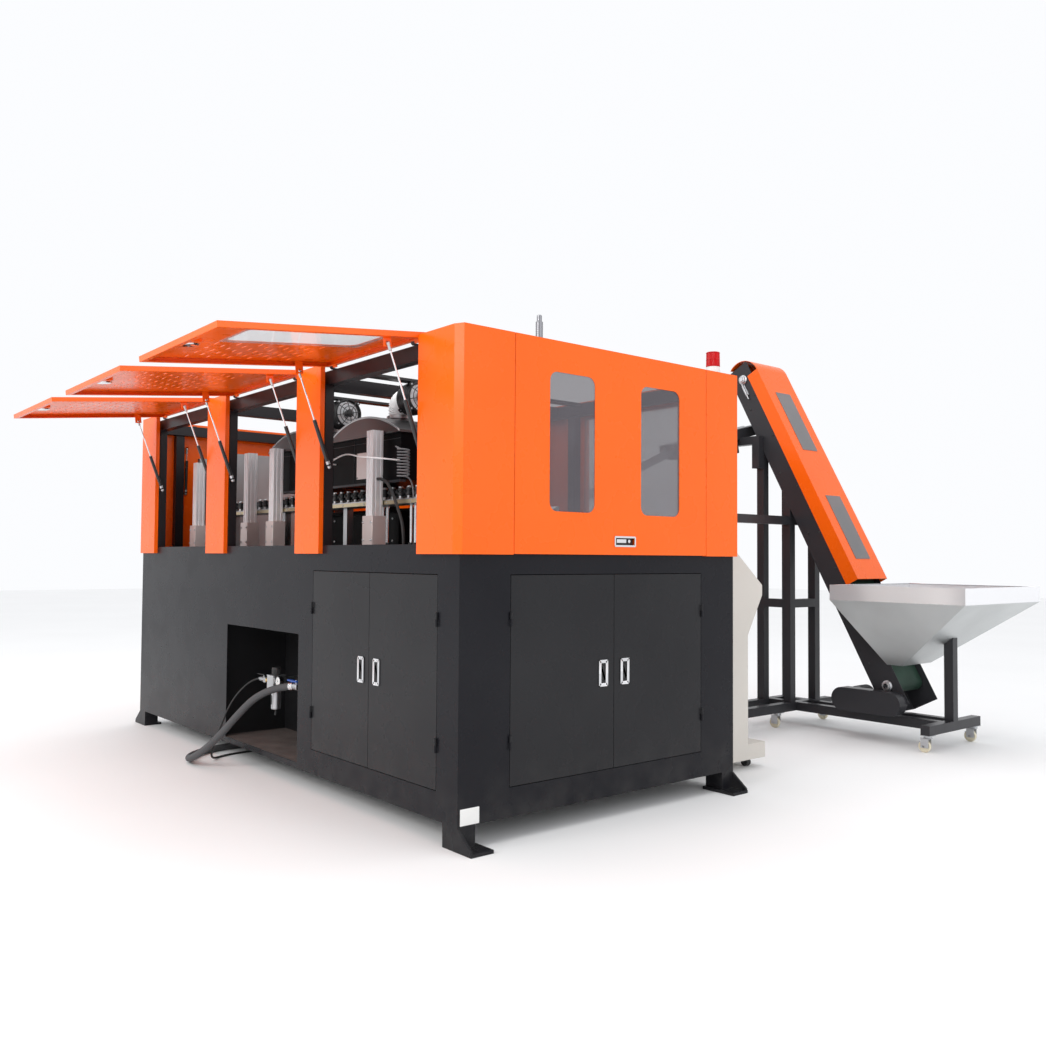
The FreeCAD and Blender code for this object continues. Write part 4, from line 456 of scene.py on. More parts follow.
def addBox(bm, low, high, where=None, index=0):
    size = [b - a for a, b in zip(low, high)]
    middle = [(a + b) / 2 for a, b in zip(low, high)]
    made = bmesh.ops.create_cube(bm, size=1.0, matrix=(where or Matrix())
                                 @ Matrix.Translation(middle)
                                 @ Matrix.Diagonal((*size, 1.0)))
    colourRound(made["verts"], index)


def addRod(bm, start, end, radius, sides=12, index=0):
    start, end = Vector(start), Vector(end)
    turn = (end - start).to_track_quat("Z", "Y").to_matrix().to_4x4()
    made = bmesh.ops.create_cone(
        bm, cap_ends=True, segments=sides, radius1=radius, radius2=radius,
        depth=(end - start).length, matrix=Matrix.Translation((start + end) / 2) @ turn)
    colourRound(made["verts"], index)


def spinRound(bm, profile, where, steps, index):
    # Spins verts and edges once round the Z of their matrix.
    old = set(bm.faces)
    bmesh.ops.spin(bm, geom=profile, cent=where.translation,
                   axis=where.to_3x3() @ Vector((0, 0, 1)), angle=math.tau, steps=steps,
                   use_merge=True)
    bmesh.ops.remove_doubles(bm, verts=bm.verts, dist=welding["doubles"])
    for face in set(bm.faces) - old:
        face.material_index = index


def addTurned(bm, outline, where, steps=32, index=0):
    # A turned form: pairs of radius and height.
    verts = [bm.verts.new(where @ Vector((radius, 0, height)))
             for radius, height in outline]
    edges = [bm.edges.new(pair) for pair in zip(verts, verts[1:])]
    spinRound(bm, verts + edges, where, steps, index)


def addRing(bm, where, radius, thick, steps=36):
    # A wire ring.
    circle = bmesh.ops.create_circle(
        bm, segments=8, radius=thick, matrix=where @ shifted(radius, 0, 0)
        @ Matrix.Rotation(math.pi / 2, 4, "X"))["verts"]
    edges = list({edge for vert in circle for edge in vert.link_edges})
    spinRound(bm, circle + edges, where, steps, 0)


def addPlate(bm, form, where):
    # A plate with rounded corners, facing Z. A pocket sunk into it has finish 1.
    old = set(bm.faces)
    grid = bmesh.ops.create_grid(bm, x_segments=1, y_segments=1, size=0.5)
    bmesh.ops.scale(bm, vec=(form["width"], form["height"], 1), verts=grid["verts"])
    bmesh.ops.bevel(bm, geom=grid["verts"], offset=form["corner"], affect="VERTICES",
                    segments=6, profile=0.5, material=-1)
    face = list(set(bm.faces) - old)[0]
    outer = list(face.edges)
    if "pocket" in form:
        bm.normal_update()
        bmesh.ops.inset_region(bm, faces=[face], thickness=form["rim"],
                               use_even_offset=True, use_boundary=True)
        sunk = vertsOf(bmesh.ops.extrude_face_region(bm, geom=[face])["geom"])
        if face.is_valid:
            bmesh.ops.delete(bm, geom=[face], context="FACES_ONLY")
        bmesh.ops.translate(bm, vec=(0, 0, -form["pocket"]), verts=sunk)
        colourRound(sunk, 1)
    skirt = vertsOf(bmesh.ops.extrude_edge_only(bm, edges=outer)["geom"])
    bmesh.ops.translate(bm, vec=(0, 0, -form["thick"]), verts=skirt)
    for vert in skirt:
        for side in vert.link_faces:
            side.material_index = 0
    verts = list({vert for part in set(bm.faces) - old for vert in part.verts})
    bmesh.ops.transform(bm, matrix=where, verts=verts)


print("door fittings")
pull = {"width": 0.058, "height": 0.122, "corner": 0.006, "rim": 0.0150, "in": 0.070,
        "level": 0.670, "proud": 0.0042, "thick": 0.0040, "pocket": 0.0036,
        "screwRise": 0.0525, "screwRadius": 0.0035, "screwDeep": 0.001,
        "screwProud": 0.0008}
doorMiddle = {"front": 0.7135, "end": 0.889}


def cabinetPull(side, leaf, away):
    bm = bmesh.new()
    reach = doorMiddle[side] + away * pull["in"]
    if side == "front":
        where = frameOf(at(reach, -pull["proud"], pull["level"]), (0, -1, 0))
    else:
        where = frameOf(at(-pull["proud"], reach, pull["level"]), (1, 0, 0))
    addPlate(bm, pull, where)
    for rise in (-pull["screwRise"], pull["screwRise"]):
        addRod(bm, where @ Vector((0, rise, -pull["screwDeep"])),
               where @ Vector((0, rise, pull["screwProud"])), pull["screwRadius"])
    piece("pull_%s_%s" % (side, leaf), bm, [chrome, blackPlastic],
          "cabinet_%s_%s" % (side, leaf), 0.0008)


for side in ("front", "end"):
    cabinetPull(side, "a", -1)
    cabinetPull(side, "b", 1)

bays = ((0.287, 1.176), (1.438, 2.368), (2.645, 3.565))
liftBay = (0.267, 1.518)
leafForm = {"gap": 0.003, "hingeIn": 0.008, "hingeLevel": 2.148, "open": 84.0,
            "low": -0.933, "skinOut": -0.033}


def leafFrame(door):
    # Leaf frame: X along the leaf from its far edge, -Y outwards, Z up when shut.
    inset, level = leafForm["hingeIn"], leafForm["hingeLevel"]
    if door.startswith("gull"):
        start, stop = bays[int(door[-1]) - 1]
        hinge = at(stop - leafForm["gap"], inset, level)
        return (Matrix.Translation(hinge)
                @ Matrix.Rotation(-math.radians(leafForm["open"]), 4, "X"))
    if door == "lift":
        hinge = at(inset, liftBay[0], level)
        return Matrix.Translation(hinge) @ Matrix.Rotation(math.pi / 2, 4, "Z")
    hinge = at(machine["length"] - inset, liftBay[1], level)
    return Matrix.Translation(hinge) @ Matrix.Rotation(-math.pi / 2, 4, "Z")


grip = {"width": 0.141, "height": 0.050, "corner": 0.007, "rim": 0.0085,
        "proud": 0.0038, "thick": 0.0036, "pocket": 0.014, "rise": 0.0625,
        "barLow": (-0.052, -0.006, -0.010), "barHigh": (0.010, 0.011, -0.0045),
        "lockLow": (0.030, 0.002, -0.012), "lockHigh": (0.030, 0.002, -0.0045),
        "lockRadius": 0.008}
latchCase = {"inside": 0.016, "stretch": (1.9, 0.85, 1.0, 1.0),
             "outline": [(0.0001, 0.0075), (0.013, 0.0072), (0.019, 0.005), (0.021, 0.0),
                         (0.0205, -0.0005)]}
leafMiddle = {"lift": 0.667, "far_lift": 0.667}
for index, (start, stop) in enumerate(bays):
    leafMiddle["gull_%d" % (index + 1)] = (stop - start) / 2 - leafForm["gap"]


def leafLatch(door, middle):
    bm = bmesh.new()
    leaf = leafFrame(door)
    skin, rise = leafForm["skinOut"], leafForm["low"] + grip["rise"]
    where = leaf @ frameOf((middle, skin - grip["proud"], rise), (0, -1, 0))
    addPlate(bm, grip, where)
    addBox(bm, grip["barLow"], grip["barHigh"], where)
    addRod(bm, where @ Vector(grip["lockLow"]), where @ Vector(grip["lockHigh"]),
           grip["lockRadius"], 20)
    # The latch case shows as a bright oval inside the leaf.
    inner = leaf @ frameOf((middle, skin + latchCase["inside"], rise), (0, 1, 0))
    addTurned(bm, latchCase["outline"], inner @ Matrix.Diagonal(latchCase["stretch"]), 36)
    piece("latch_" + door, bm, [chrome, blackPlastic], door, 0.0008)


for door, middle in leafMiddle.items():
    leafLatch(door, middle)

strut = {"inset": 0.025, "lowIn": 0.015, "lowLevel": 1.648, "openLong": 0.4962,
         "shutLong": 0.3292, "openLean": 20.674724, "shutLean": 1.914951,
         "studOut": 0.0092,
         "foot": [(0.0001, -0.0098), (0.0062, -0.0082), (0.0094, -0.003),
                  (0.0096, 0.003), (0.0072, 0.0085), (0.0068, 0.013), (0.0108, 0.015),
                  (0.0108, 0.030), (0.0101, 0.0305)],
         "tip": [(0.0041, -0.034), (0.0068, -0.032), (0.0068, -0.012),
                 (0.0092, -0.004), (0.0096, 0.003), (0.0062, 0.0084),
                 (0.0001, 0.0098)],
         "stud": [(0.0085, 0.0), (0.0085, 0.0035), (0.006, 0.0058), (0.0001, 0.0064)]}


def strutEnds(door, cylinders):
    inset, lowIn, level = strut["inset"], strut["lowIn"], strut["lowLevel"]
    if door.startswith("gull"):
        start, stop = bays[int(door[-1]) - 1]
        lean, span = math.radians(strut["openLean"]), strut["openLong"]
        feet = [(at(stop - leafForm["gap"] - inset, lowIn, level), 1),
                (at(start + leafForm["gap"] + inset, lowIn, level), -1)]
        way, inward = Vector((0, -math.sin(lean), math.cos(lean))), Vector((1, 0, 0))
    else:
        lean, span = math.radians(strut["shutLean"]), strut["shutLong"]
        far = door == "far_lift"
        along = machine["length"] - lowIn if far else lowIn
        feet = [(at(along, liftBay[0] + inset, level), 1),
                (at(along, liftBay[1] - inset, level), -1)]
        way = Vector(((1 if far else -1) * math.sin(lean), 0, math.cos(lean)))
        inward = Vector((0, 1, 0))
    low, high, studs = bmesh.new(), bmesh.new(), bmesh.new()
    for foot, side in feet:
        where = frameOf(foot, way, inward)
        addTurned(low, strut["foot"], where, 20)
        addTurned(high, strut["tip"], where @ shifted(0, 0, span), 20)
        stud = foot + way * span + inward * side * strut["studOut"]
        addTurned(studs, strut["stud"], frameOf(stud, inward * side), 12)
    rods = cylinders.replace("cylinders", "rods")
    piece("strut_feet_" + door, low, [zinc], cylinders)
    piece("strut_tips_" + door, high, [zinc], rods)
    piece("strut_studs_" + door, studs, [chrome], door)


for index in range(len(bays)):
    strutEnds("gull_%d" % (index + 1), "cylinders_%d" % (index + 1))
for door in ("lift", "far_lift"):
    strutEnds(door, door + "_cylinders")


print("fans and ducts")
oven = {"starts": (0.93, 1.71), "long": 0.70, "front": 0.30, "deep": 0.42,
        "low": 1.59, "high": 1.83, "hood": 1.94, "collar": 0.025}
duct = {"bend": 0.08, "radius": 0.0546, "rib": 0.0034, "ribs": 11, "rings": 89,
        "bulge": 0.014, "bulgeOut": 0.35, "sides": 44, "clear": 0.0003}
clamp = {"bands": ((-0.010, 0.0632), (-0.0005, 0.0600)), "thick": 0.0022, "half": 0.005,
         "edge": 0.0045, "boxLow": (0.062, -0.006, -0.016),
         "boxHigh": (0.078, 0.006, -0.004)}
ovenAcross = oven["front"] + oven["deep"] / 2
ovenMiddles = [start + oven["long"] / 2 for start in oven["starts"]]
hoodTop = oven["hood"] + oven["collar"]


def addDuct(bm, middle):
    # Circles bridged round a quarter bend, with a wave for the ribs.
    centre = at(middle - duct["bend"], ovenAcross, hoodTop + duct["clear"])
    before = None
    for ring in range(duct["rings"]):
        share = ring / (duct["rings"] - 1)
        turn = share * math.pi / 2
        out = Vector((-math.sin(turn), 0, math.cos(turn)))
        swell = math.sin(math.pi * share) * duct["bulge"]
        wave = math.cos(share * duct["ribs"] * math.tau)
        radius = duct["radius"] + wave * duct["rib"] + swell * duct["bulgeOut"]
        along = Vector((-math.cos(turn), 0, -math.sin(turn)))
        where = frameOf(centre + out * (duct["bend"] + swell), along, (0, 1, 0))
        loop = bmesh.ops.create_circle(bm, segments=duct["sides"], radius=radius,
                                       matrix=where)["verts"]
        edges = list({edge for vert in loop for edge in vert.link_edges})
        if before:
            bmesh.ops.bridge_loops(bm, edges=before + edges)
        before = edges


def addClamps(bm, middle):
    for up, radius in clamp["bands"]:
        band = frameOf(at(middle, ovenAcross, hoodTop + up), (0, 0, 1), (0, 1, 0))
        outer = radius + clamp["thick"]
        addTurned(bm, [(radius, -clamp["half"]), (outer, -clamp["edge"]),
                       (outer, clamp["edge"]), (radius, clamp["half"])], band, 44)
    screw = Matrix.Translation(at(middle, ovenAcross, hoodTop))
    addBox(bm, clamp["boxLow"], clamp["boxHigh"],
           screw @ Matrix.Rotation(-math.pi / 2, 4, "Z"))


guard = {"beyond": 0.14, "wire": 0.0022, "spokes": 8, "spokeTurn": 0.2,
         "rings": ((0.022, 0.017), (0.042, 0.015), (0.061, 0.010), (0.079, 0.002)),
         "spoke": ((0.012, 0.018), (0.060, 0.012), (0.083, 0.0)),
         "hub": [(0.0001, 0.022), (0.016, 0.020), (0.020, 0.014), (0.020, -0.040)],
         "lugs": 4, "lugIn": 0.082, "lugOut": 0.099, "lugHalf": 0.011, "lugThick": 0.008,
         "lugLevels": (-0.008, -0.112), "bolt": 0.0045, "boltIn": 0.091,
         "bands": 5, "bandPitch": 0.020, "bandRadius": 0.0855, "bandWire": 0.0018}


def addGuard(bm, middle):
    mouth = frameOf(at(middle - duct["bend"] - guard["beyond"], ovenAcross,
                       hoodTop + duct["bend"]), (1, 0, 0))
    for radius, proud in guard["rings"]:
        addRing(bm, mouth @ shifted(0, 0, proud), radius, guard["wire"])
    for spoke in range(guard["spokes"]):
        turn = spoke * math.tau / guard["spokes"] + guard["spokeTurn"]
        way = Vector((math.cos(turn), math.sin(turn), 0))
        path = [mouth @ (way * radius + Vector((0, 0, proud)))
                for radius, proud in guard["spoke"]]
        for start, end in zip(path, path[1:]):
            addRod(bm, start, end, guard["wire"], 8)
    addTurned(bm, guard["hub"], mouth, 24)
    half, thick = guard["lugHalf"], guard["lugThick"] / 2
    for lug in range(guard["lugs"]):
        spin = mouth @ Matrix.Rotation((lug + 0.5) * math.tau / guard["lugs"], 4, "Z")
        for level in guard["lugLevels"]:
            addBox(bm, (guard["lugIn"], -half, level - thick),
                   (guard["lugOut"], half, level + thick), spin)
            addRod(bm, spin @ Vector((guard["boltIn"], 0, level + thick)),
                   spin @ Vector((guard["boltIn"], 0, level + thick * 2)),
                   guard["bolt"], 6, 1)
    for band in range(1, guard["bands"] + 1):
        addRing(bm, mouth @ shifted(0, 0, -band * guard["bandPitch"]),
                guard["bandRadius"], guard["bandWire"], 40)


ductMesh, guardMesh, clampMesh = bmesh.new(), bmesh.new(), bmesh.new()
for middle in ovenMiddles:
    addDuct(ductMesh, middle)
    addClamps(clampMesh, middle)
    addGuard(guardMesh, middle)
ducts = piece("ribbed_ducts", ductMesh, [white], "machine")
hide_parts("air_ducts")
piece("fan_guards", guardMesh, [blackPlastic, zinc], "machine")
piece("duct_clamps", clampMesh, [zinc], "machine")


print("ovens")
hoodLip = {"over": 0.015, "out": 0.0205, "up": 0.012, "fold": 0.010, "wall": 0.0016,
           "steps": 24}
bm = bmesh.new()
half = oven["long"] / 2 + hoodLip["over"]
foot = oven["high"] + hoodLip["up"]
rise = oven["hood"] - oven["high"] - hoodLip["up"]
for middle in ovenMiddles:
    # A bright folded lip along both arched edges of the hood.
    for edge in (oven["front"] - hoodLip["out"],
                 oven["front"] + oven["deep"] + hoodLip["out"]):
        line = []
        for step in range(hoodLip["steps"] + 1):
            out = 1 - 2 * step / hoodLip["steps"]
            line.append(bm.verts.new(at(middle + half * out, edge,
                                        foot + rise * (1 - out * out))))
        edges = [bm.edges.new(pair) for pair in zip(line, line[1:])]
        low = vertsOf(bmesh.ops.extrude_edge_only(bm, edges=edges)["geom"])
        bmesh.ops.translate(bm, vec=(0, 0, -hoodLip["fold"]), verts=low)
lip = piece("hood_lips", bm, [machined], "machine")
wall = lip.modifiers.new("wall", "SOLIDIFY")
wall.thickness = hoodLip["wall"]
wall.offset = 0.0

ovenPlate = {"width": 0.130, "height": 0.140, "corner": 0.004, "thick": 0.0032,
             "along": 1.301, "up": 1.682, "out": 0.0034, "screwSide": 0.057,
             "screwRise": 0.062,
             "screw": [(0.0045, 0.0), (0.0045, 0.0018), (0.003, 0.003), (0.0001, 0.0032)]}
bm = bmesh.new()
where = frameOf(at(ovenPlate["along"], oven["front"] - ovenPlate["out"],
                   ovenPlate["up"]), (0, -1, 0))
addPlate(bm, ovenPlate, where)
for side in (-ovenPlate["screwSide"], ovenPlate["screwSide"]):
    for rise in (-ovenPlate["screwRise"], ovenPlate["screwRise"]):
        addTurned(bm, ovenPlate["screw"], where @ shifted(side, rise, 0), 14, 1)
piece("oven_plate", bm, [pinkAluminium, dullSteel], "machine", 0.0006)

seam = {"places": (0.235, 0.465), "half": 0.0012, "proud": 0.0014, "in": 0.004,
        "beltDown": 0.030, "beltHigh": 0.003, "lipOut": 0.006, "lipDeep": 0.030,
        "lipDown": 0.012, "clear": 0.0005}
bm = bmesh.new()
front = oven["front"] - seam["proud"]
for start in oven["starts"]:
    # Folded seams of the front panels, and the lip along their foot.
    for place in seam["places"]:
        along = start + place
        addBox(bm, at(along + seam["half"], front, oven["low"] + seam["in"]),
               at(along - seam["half"], oven["front"], oven["high"] - seam["in"]))
    end = start + oven["long"]
    belt = oven["high"] - seam["beltDown"]
    addBox(bm, at(end - seam["in"], front, belt),
           at(start + seam["in"], oven["front"], belt + seam["beltHigh"]))
    addBox(bm, at(end, oven["front"] - seam["lipOut"], oven["low"] - seam["lipDown"]),
           at(start, oven["front"] + seam["lipDeep"], oven["low"] - seam["clear"]))
piece("oven_seams", bm, [standPaint], "machine")


print("profiles and rail")
post = {"starts": (1.053, 2.198, 2.563, 3.423), "side": 0.062, "front": 0.209,
        "low": 1.406, "high": 1.845, "slot": 0.0085, "deep": 0.006,
        "slots": (0.28, 0.72)}
postFoot = {"out": 0.019, "front": 0.200, "back": 0.280, "top": 1.407, "boltOut": 0.008,
            "boltUps": (1.285, 1.375),
            "bolt": [(0.0065, 0.0), (0.0065, 0.005), (0.0035, 0.005), (0.0035, 0.002),
                     (0.0001, 0.002)]}


def addProfile(bm, low, high):
    # An extruded square bar with two slots down every side.
    old = set(bm.faces)
    addBox(bm, low, high)
    cuts = []
    for axis in (0, 1):
        for share in post["slots"]:
            middle = low[axis] + (high[axis] - low[axis]) * share
            cuts.append((axis, middle))
            for edge in (-post["slot"] / 2, post["slot"] / 2):
                spot, normal = Vector((0, 0, 0)), Vector((0, 0, 0))
                spot[axis], normal[axis] = middle + edge, 1.0
                fresh = list(set(bm.faces) - old)
                lines = {edge for face in fresh for edge in face.edges}
                corners = {vert for face in fresh for vert in face.verts}
                bmesh.ops.bisect_plane(bm, geom=fresh + list(lines) + list(corners),
                                       dist=welding["doubles"], plane_co=spot,
                                       plane_no=normal)
    for axis, middle in cuts:
        across = 1 - axis
        for sign in (-1, 1):
            sunk = [face for face in set(bm.faces) - old
                    if face.normal[across] * sign > 0.9
                    and abs(face.calc_center_median()[axis] - middle) < post["slot"] / 2]
            bm.normal_update()
            floor = vertsOf(bmesh.ops.extrude_face_region(bm, geom=sunk)["geom"])
            shift = Vector((0, 0, 0))
            shift[across] = -sign * post["deep"]
            bmesh.ops.translate(bm, vec=shift, verts=floor)
            bmesh.ops.delete(bm, geom=[face for face in sunk if face.is_valid],
                             context="FACES_ONLY")


bm = bmesh.new()
feet = bmesh.new()
for start in post["starts"]:
    end = start + post["side"]
    bm.normal_update()
    addProfile(bm, at(end, post["front"], post["low"]),
               at(start, post["front"] + post["side"], post["high"]))
    addBox(feet, at(end + postFoot["out"], postFoot["front"], machine["baseTop"]),
           at(start - postFoot["out"], postFoot["back"], postFoot["top"]))
    for along in (start - postFoot["boltOut"], end + postFoot["boltOut"]):
        for up in postFoot["boltUps"]:
            where = frameOf(at(along, postFoot["front"], up), (0, -1, 0))
            addTurned(feet, postFoot["bolt"], where, 12, 1)
profiles = piece("slotted_profiles", bm, [aluminium], "machine", 0.0007)
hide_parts("profile_posts")
piece("profile_feet", feet, [pinkAluminium, zinc], "machine", 0.0015)

rail = {"start": 0.70, "end": 3.15, "top": 1.49, "pitch": 0.0762, "count": 31,
        "across": 0.34, "first": 0.8}
spindle = {"base": [(0.0185, 0.0), (0.0185, 0.007), (0.0105, 0.009), (0.0105, 0.020)],
           "chuck": [(0.0105, 0.020), (0.0170, 0.022), (0.0170, 0.036), (0.0105, 0.038),
                     (0.0105, 0.046), (0.0150, 0.048), (0.0150, 0.058),
                     (0.0110, 0.060)],
           "nose": [(0.0110, 0.060), (0.0125, 0.062), (0.0125, 0.067),
                    (0.0085, 0.0705), (0.0001, 0.0708)],
           "rollers": ((0.022, 0.0135), (0.038, 0.0095)), "rollerAcross": 0.372,
           "shieldLow": (-0.036, 0.020, 0.010), "shieldHigh": (0.036, 0.023, 0.058)}
bm = bmesh.new()
for index in range(rail["count"]):
    along = rail["start"] + rail["pitch"] * (index + rail["first"])
    where = Matrix.Translation(at(along, rail["across"], rail["top"]))
    for part, finish in (("base", 0), ("chuck", 1), ("nose", 0)):
        addTurned(bm, spindle[part], where, 14, finish)
    for back, radius in spindle["rollers"]:
        roller = at(along + back, spindle["rollerAcross"], rail["top"])
        pin = radius * 0.6
        addTurned(bm, [(radius, 0.0005), (radius, 0.028), (pin, 0.030), (pin, 0.048),
                       (0.0001, 0.049)], Matrix.Translation(roller), 10, 1)
    addBox(bm, spindle["shieldLow"], spindle["shieldHigh"], where, 1)
piece("spindle_heads", bm, [machined, blackPlastic], "machine")

guide = {"front": 0.2765, "back": 0.2799, "low": 1.4655, "high": 1.4845, "screws": 11,
         "first": 0.10, "pitch": 0.225, "screw": 0.005, "screwFront": 0.2735,
         "screwBack": 0.279, "screwUp": 1.475}
bm = bmesh.new()
addBox(bm, at(rail["end"], guide["front"], guide["low"]),
       at(rail["start"], guide["back"], guide["high"]))
for step in range(guide["screws"]):
    along = rail["start"] + guide["first"] + step * guide["pitch"]
    addRod(bm, at(along, guide["screwFront"], guide["screwUp"]),
           at(along, guide["screwBack"], guide["screwUp"]), guide["screw"], 6, 1)
piece("rail_guides", bm, [yellowZinc, machined], "machine", 0.0006)

carriage = {"start": 1.18, "end": 1.93, "front": 0.45, "back": 0.60, "low": 1.2553,
            "high": 1.435, "lidOver": 0.012, "lid": 0.008, "screw": 0.007,
            "screwOut": 0.005, "screwIn": 0.001, "screws": (1.24, 1.48, 1.72, 1.88),
            "screwUps": (1.285, 1.405), "skirtStart": 0.70, "skirtEnd": 2.60,
            "skirt": 0.006, "skirtClear": 0.0005, "skirtTop": 1.470}
bm = bmesh.new()
front, back, over = carriage["front"], carriage["back"], carriage["lidOver"]
addBox(bm, at(carriage["end"], front, carriage["low"]),
       at(carriage["start"], back, carriage["high"]))
addBox(bm, at(carriage["end"] + over, front - over, carriage["high"]),
       at(carriage["start"] - over, back, carriage["high"] + carriage["lid"]))
for along in carriage["screws"]:
    for up in carriage["screwUps"]:
        addRod(bm, at(along, front - carriage["screwOut"], up),
               at(along, front + carriage["screwIn"], up), carriage["screw"], 6, 1)
addBox(bm, at(carriage["skirtEnd"], back + carriage["skirtClear"], carriage["low"]),
       at(carriage["skirtStart"], back + carriage["skirt"], carriage["skirtTop"]))
piece("rail_carriage", bm, [ovenBlack, zinc], "machine", 0.002)

rods = {"places": (0.885, 0.925, 0.965, 1.195, 1.240, 1.285), "across": 0.390,
        "top": 1.4645, "radius": 0.0095,
        "collar": [(0.0095, 0.0), (0.016, 0.0), (0.016, 0.016), (0.0095, 0.018)]}
bm = bmesh.new()
for along in rods["places"]:
    foot = at(along, rods["across"], carriage["low"])
    addRod(bm, foot, at(along, rods["across"], rods["top"]), rods["radius"], 16)
    addTurned(bm, rods["collar"], Matrix.Translation(foot), 20, 1)
piece("rail_rods", bm, [chrome, blackPlastic], "machine")


print("roof fittings")
beacon = {"along": 0.10, "across": 1.725, "low": 2.143, "lens": 0.037, "taper": 0.96,
          "lensLow": 0.079, "lensHigh": 0.158, "flutes": 36, "fluteDeep": 0.035,
          "base": [(0.0001, 0.0), (0.037, 0.0), (0.039, 0.003), (0.039, 0.064),
                   (0.0365, 0.068), (0.0365, 0.079), (0.0001, 0.079)],
          "bands": (0.082, 0.118, 0.154), "bandLow": (-0.040, -0.040, -0.003),
          "bandHigh": (0.0735, 0.030, 0.001)}
bm = bmesh.new()
foot = Matrix.Translation(at(beacon["along"], beacon["across"], beacon["low"]))
addTurned(bm, beacon["base"], foot, 48)
lens = bmesh.ops.create_cone(
    bm, cap_ends=True, segments=beacon["flutes"] * 2, radius1=beacon["lens"],
    radius2=beacon["lens"] * beacon["taper"],
    depth=beacon["lensHigh"] - beacon["lensLow"],
    matrix=foot @ shifted(0, 0, (beacon["lensLow"] + beacon["lensHigh"]) / 2))
for vert in lens["verts"]:
    # Every second edge of the lens is drawn in, which leaves upright flutes.
    flat = Vector((vert.co.x - foot.translation.x, vert.co.y - foot.translation.y, 0))
    turn = math.atan2(flat.y, flat.x) / math.tau * beacon["flutes"]
    if abs(turn - round(turn)) > 0.25:
        vert.co -= flat * beacon["fluteDeep"]
colourRound(lens["verts"], 1)
for up in beacon["bands"]:
    addTurned(bm, [(0.0355, up - 0.002), (0.0372, up - 0.001), (0.0372, up + 0.001),
                   (0.0355, up + 0.002)], foot, 48, 1)
addBox(bm, beacon["bandLow"], beacon["bandHigh"], foot, 2)
lamp = piece("signal_beacon", bm, [whiteShell, redLens, frameDark], "machine",
             0.0008)
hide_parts("beacon")

silencer = {"along": 0.20, "across": 0.59, "low": 2.143,
            "socket": [(0.0001, 0.0), (0.020, 0.0), (0.020, 0.020), (0.0185, 0.023),
                       (0.020, 0.026), (0.020, 0.056), (0.0165, 0.058),
                       (0.0001, 0.058)],
            "neck": (0.0165, 0.058), "ribs": 12, "ribLow": 0.060, "ribPitch": 0.0085,
            "rib": ((0.0168, 0.0), (0.0175, 0.0025), (0.0168, 0.005)),
            "cap": [(0.012, 0.163), (0.012, 0.188), (0.009, 0.192), (0.0001, 0.192)],
            "tabLow": (-0.030, -0.020, -0.003), "tabHigh": (0.1695, 0.020, 0.001)}
bm = bmesh.new()
foot = Matrix.Translation(at(silencer["along"], silencer["across"], silencer["low"]))
addTurned(bm, silencer["socket"], foot, 6)
sleeve = [silencer["neck"]]
for step in range(silencer["ribs"]):
    low = silencer["ribLow"] + step * silencer["ribPitch"]
    sleeve += [(radius, low + up) for radius, up in silencer["rib"]]
addTurned(bm, sleeve + silencer["cap"], foot, 32)
addBox(bm, silencer["tabLow"], silencer["tabHigh"], foot, 1)
muffler = piece("air_silencer", bm, [dullSteel, frameDark], "machine", 0.0006)
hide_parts("silencer")


print("recess fittings")
air = {"along": 1.890, "across": 0.100, "level": 0.490, "valve": 1.640}
gauge = {"spot": (1.821, 0.078, 0.500), "turn": 0.7,
         "case": [(0.0272, -0.021), (0.0276, -0.002), (0.0276, 0.003),
                  (0.0245, 0.0042), (0.0240, 0.0010), (0.0001, 0.0010)],
         "dial": [(0.0001, 0.0016), (0.0232, 0.0016), (0.0236, 0.0010)],
         "needleLow": (-0.0009, -0.004, 0.0018), "needleHigh": (0.0009, 0.017, 0.0024),
         "pin": [(0.003, 0.0017), (0.003, 0.0028), (0.0001, 0.003)]}
bowl = {"low": 0.340,
        "shell": [(0.0001, -0.004), (0.012, -0.004), (0.022, 0.000), (0.0268, 0.006),
                  (0.0268, 0.098), (0.0285, 0.100), (0.0285, 0.111), (0.026, 0.1115)],
        "drain": [(0.0055, -0.036), (0.0075, -0.034), (0.0075, -0.020),
                  (0.0055, -0.018), (0.0055, -0.003)],
        "sightLow": (-0.0055, -0.0276, 0.026), "sightHigh": (0.0055, -0.0262, 0.078),
        "plates": (0.452, 0.528), "plateHalf": 0.0395, "plateThick": 0.0025}
# Start and end along the pipe, radius, sides and finish of each fitting.
unions = ((1.929, 1.944, 0.0170, 6, 4), (1.944, 1.990, 0.0125, 24, 4),
          (1.990, 2.003, 0.0160, 6, 4), (2.030, 2.068, 0.0150, 24, 5),
          (2.022, 2.030, 0.0170, 6, 5), (2.068, 2.080, 0.0165, 6, 5),
          (2.080, 2.0995, 0.0105, 20, 5))
tee = {"along": 2.049, "low": 0.503, "high": 0.514, "radius": 0.004,
       "leverFrom": (2.125, 0.093, 0.513), "leverTo": (2.040, 0.107, 0.517)}
bm = bmesh.new()
where = frameOf(at(*gauge["spot"]), (0, -1, 0))
addTurned(bm, gauge["case"], where, 40, 1)
addTurned(bm, gauge["dial"], where, 40, 2)
addBox(bm, gauge["needleLow"], gauge["needleHigh"],
       where @ Matrix.Rotation(gauge["turn"], 4, "Z"), 3)
addTurned(bm, gauge["pin"], where, 12, 3)
where = Matrix.Translation(at(air["along"], air["across"], bowl["low"]))
addTurned(bm, bowl["shell"], where, 40)
addTurned(bm, bowl["drain"], where, 16, 3)
addBox(bm, bowl["sightLow"], bowl["sightHigh"], where, 3)
half, thick = bowl["plateHalf"], bowl["plateThick"]
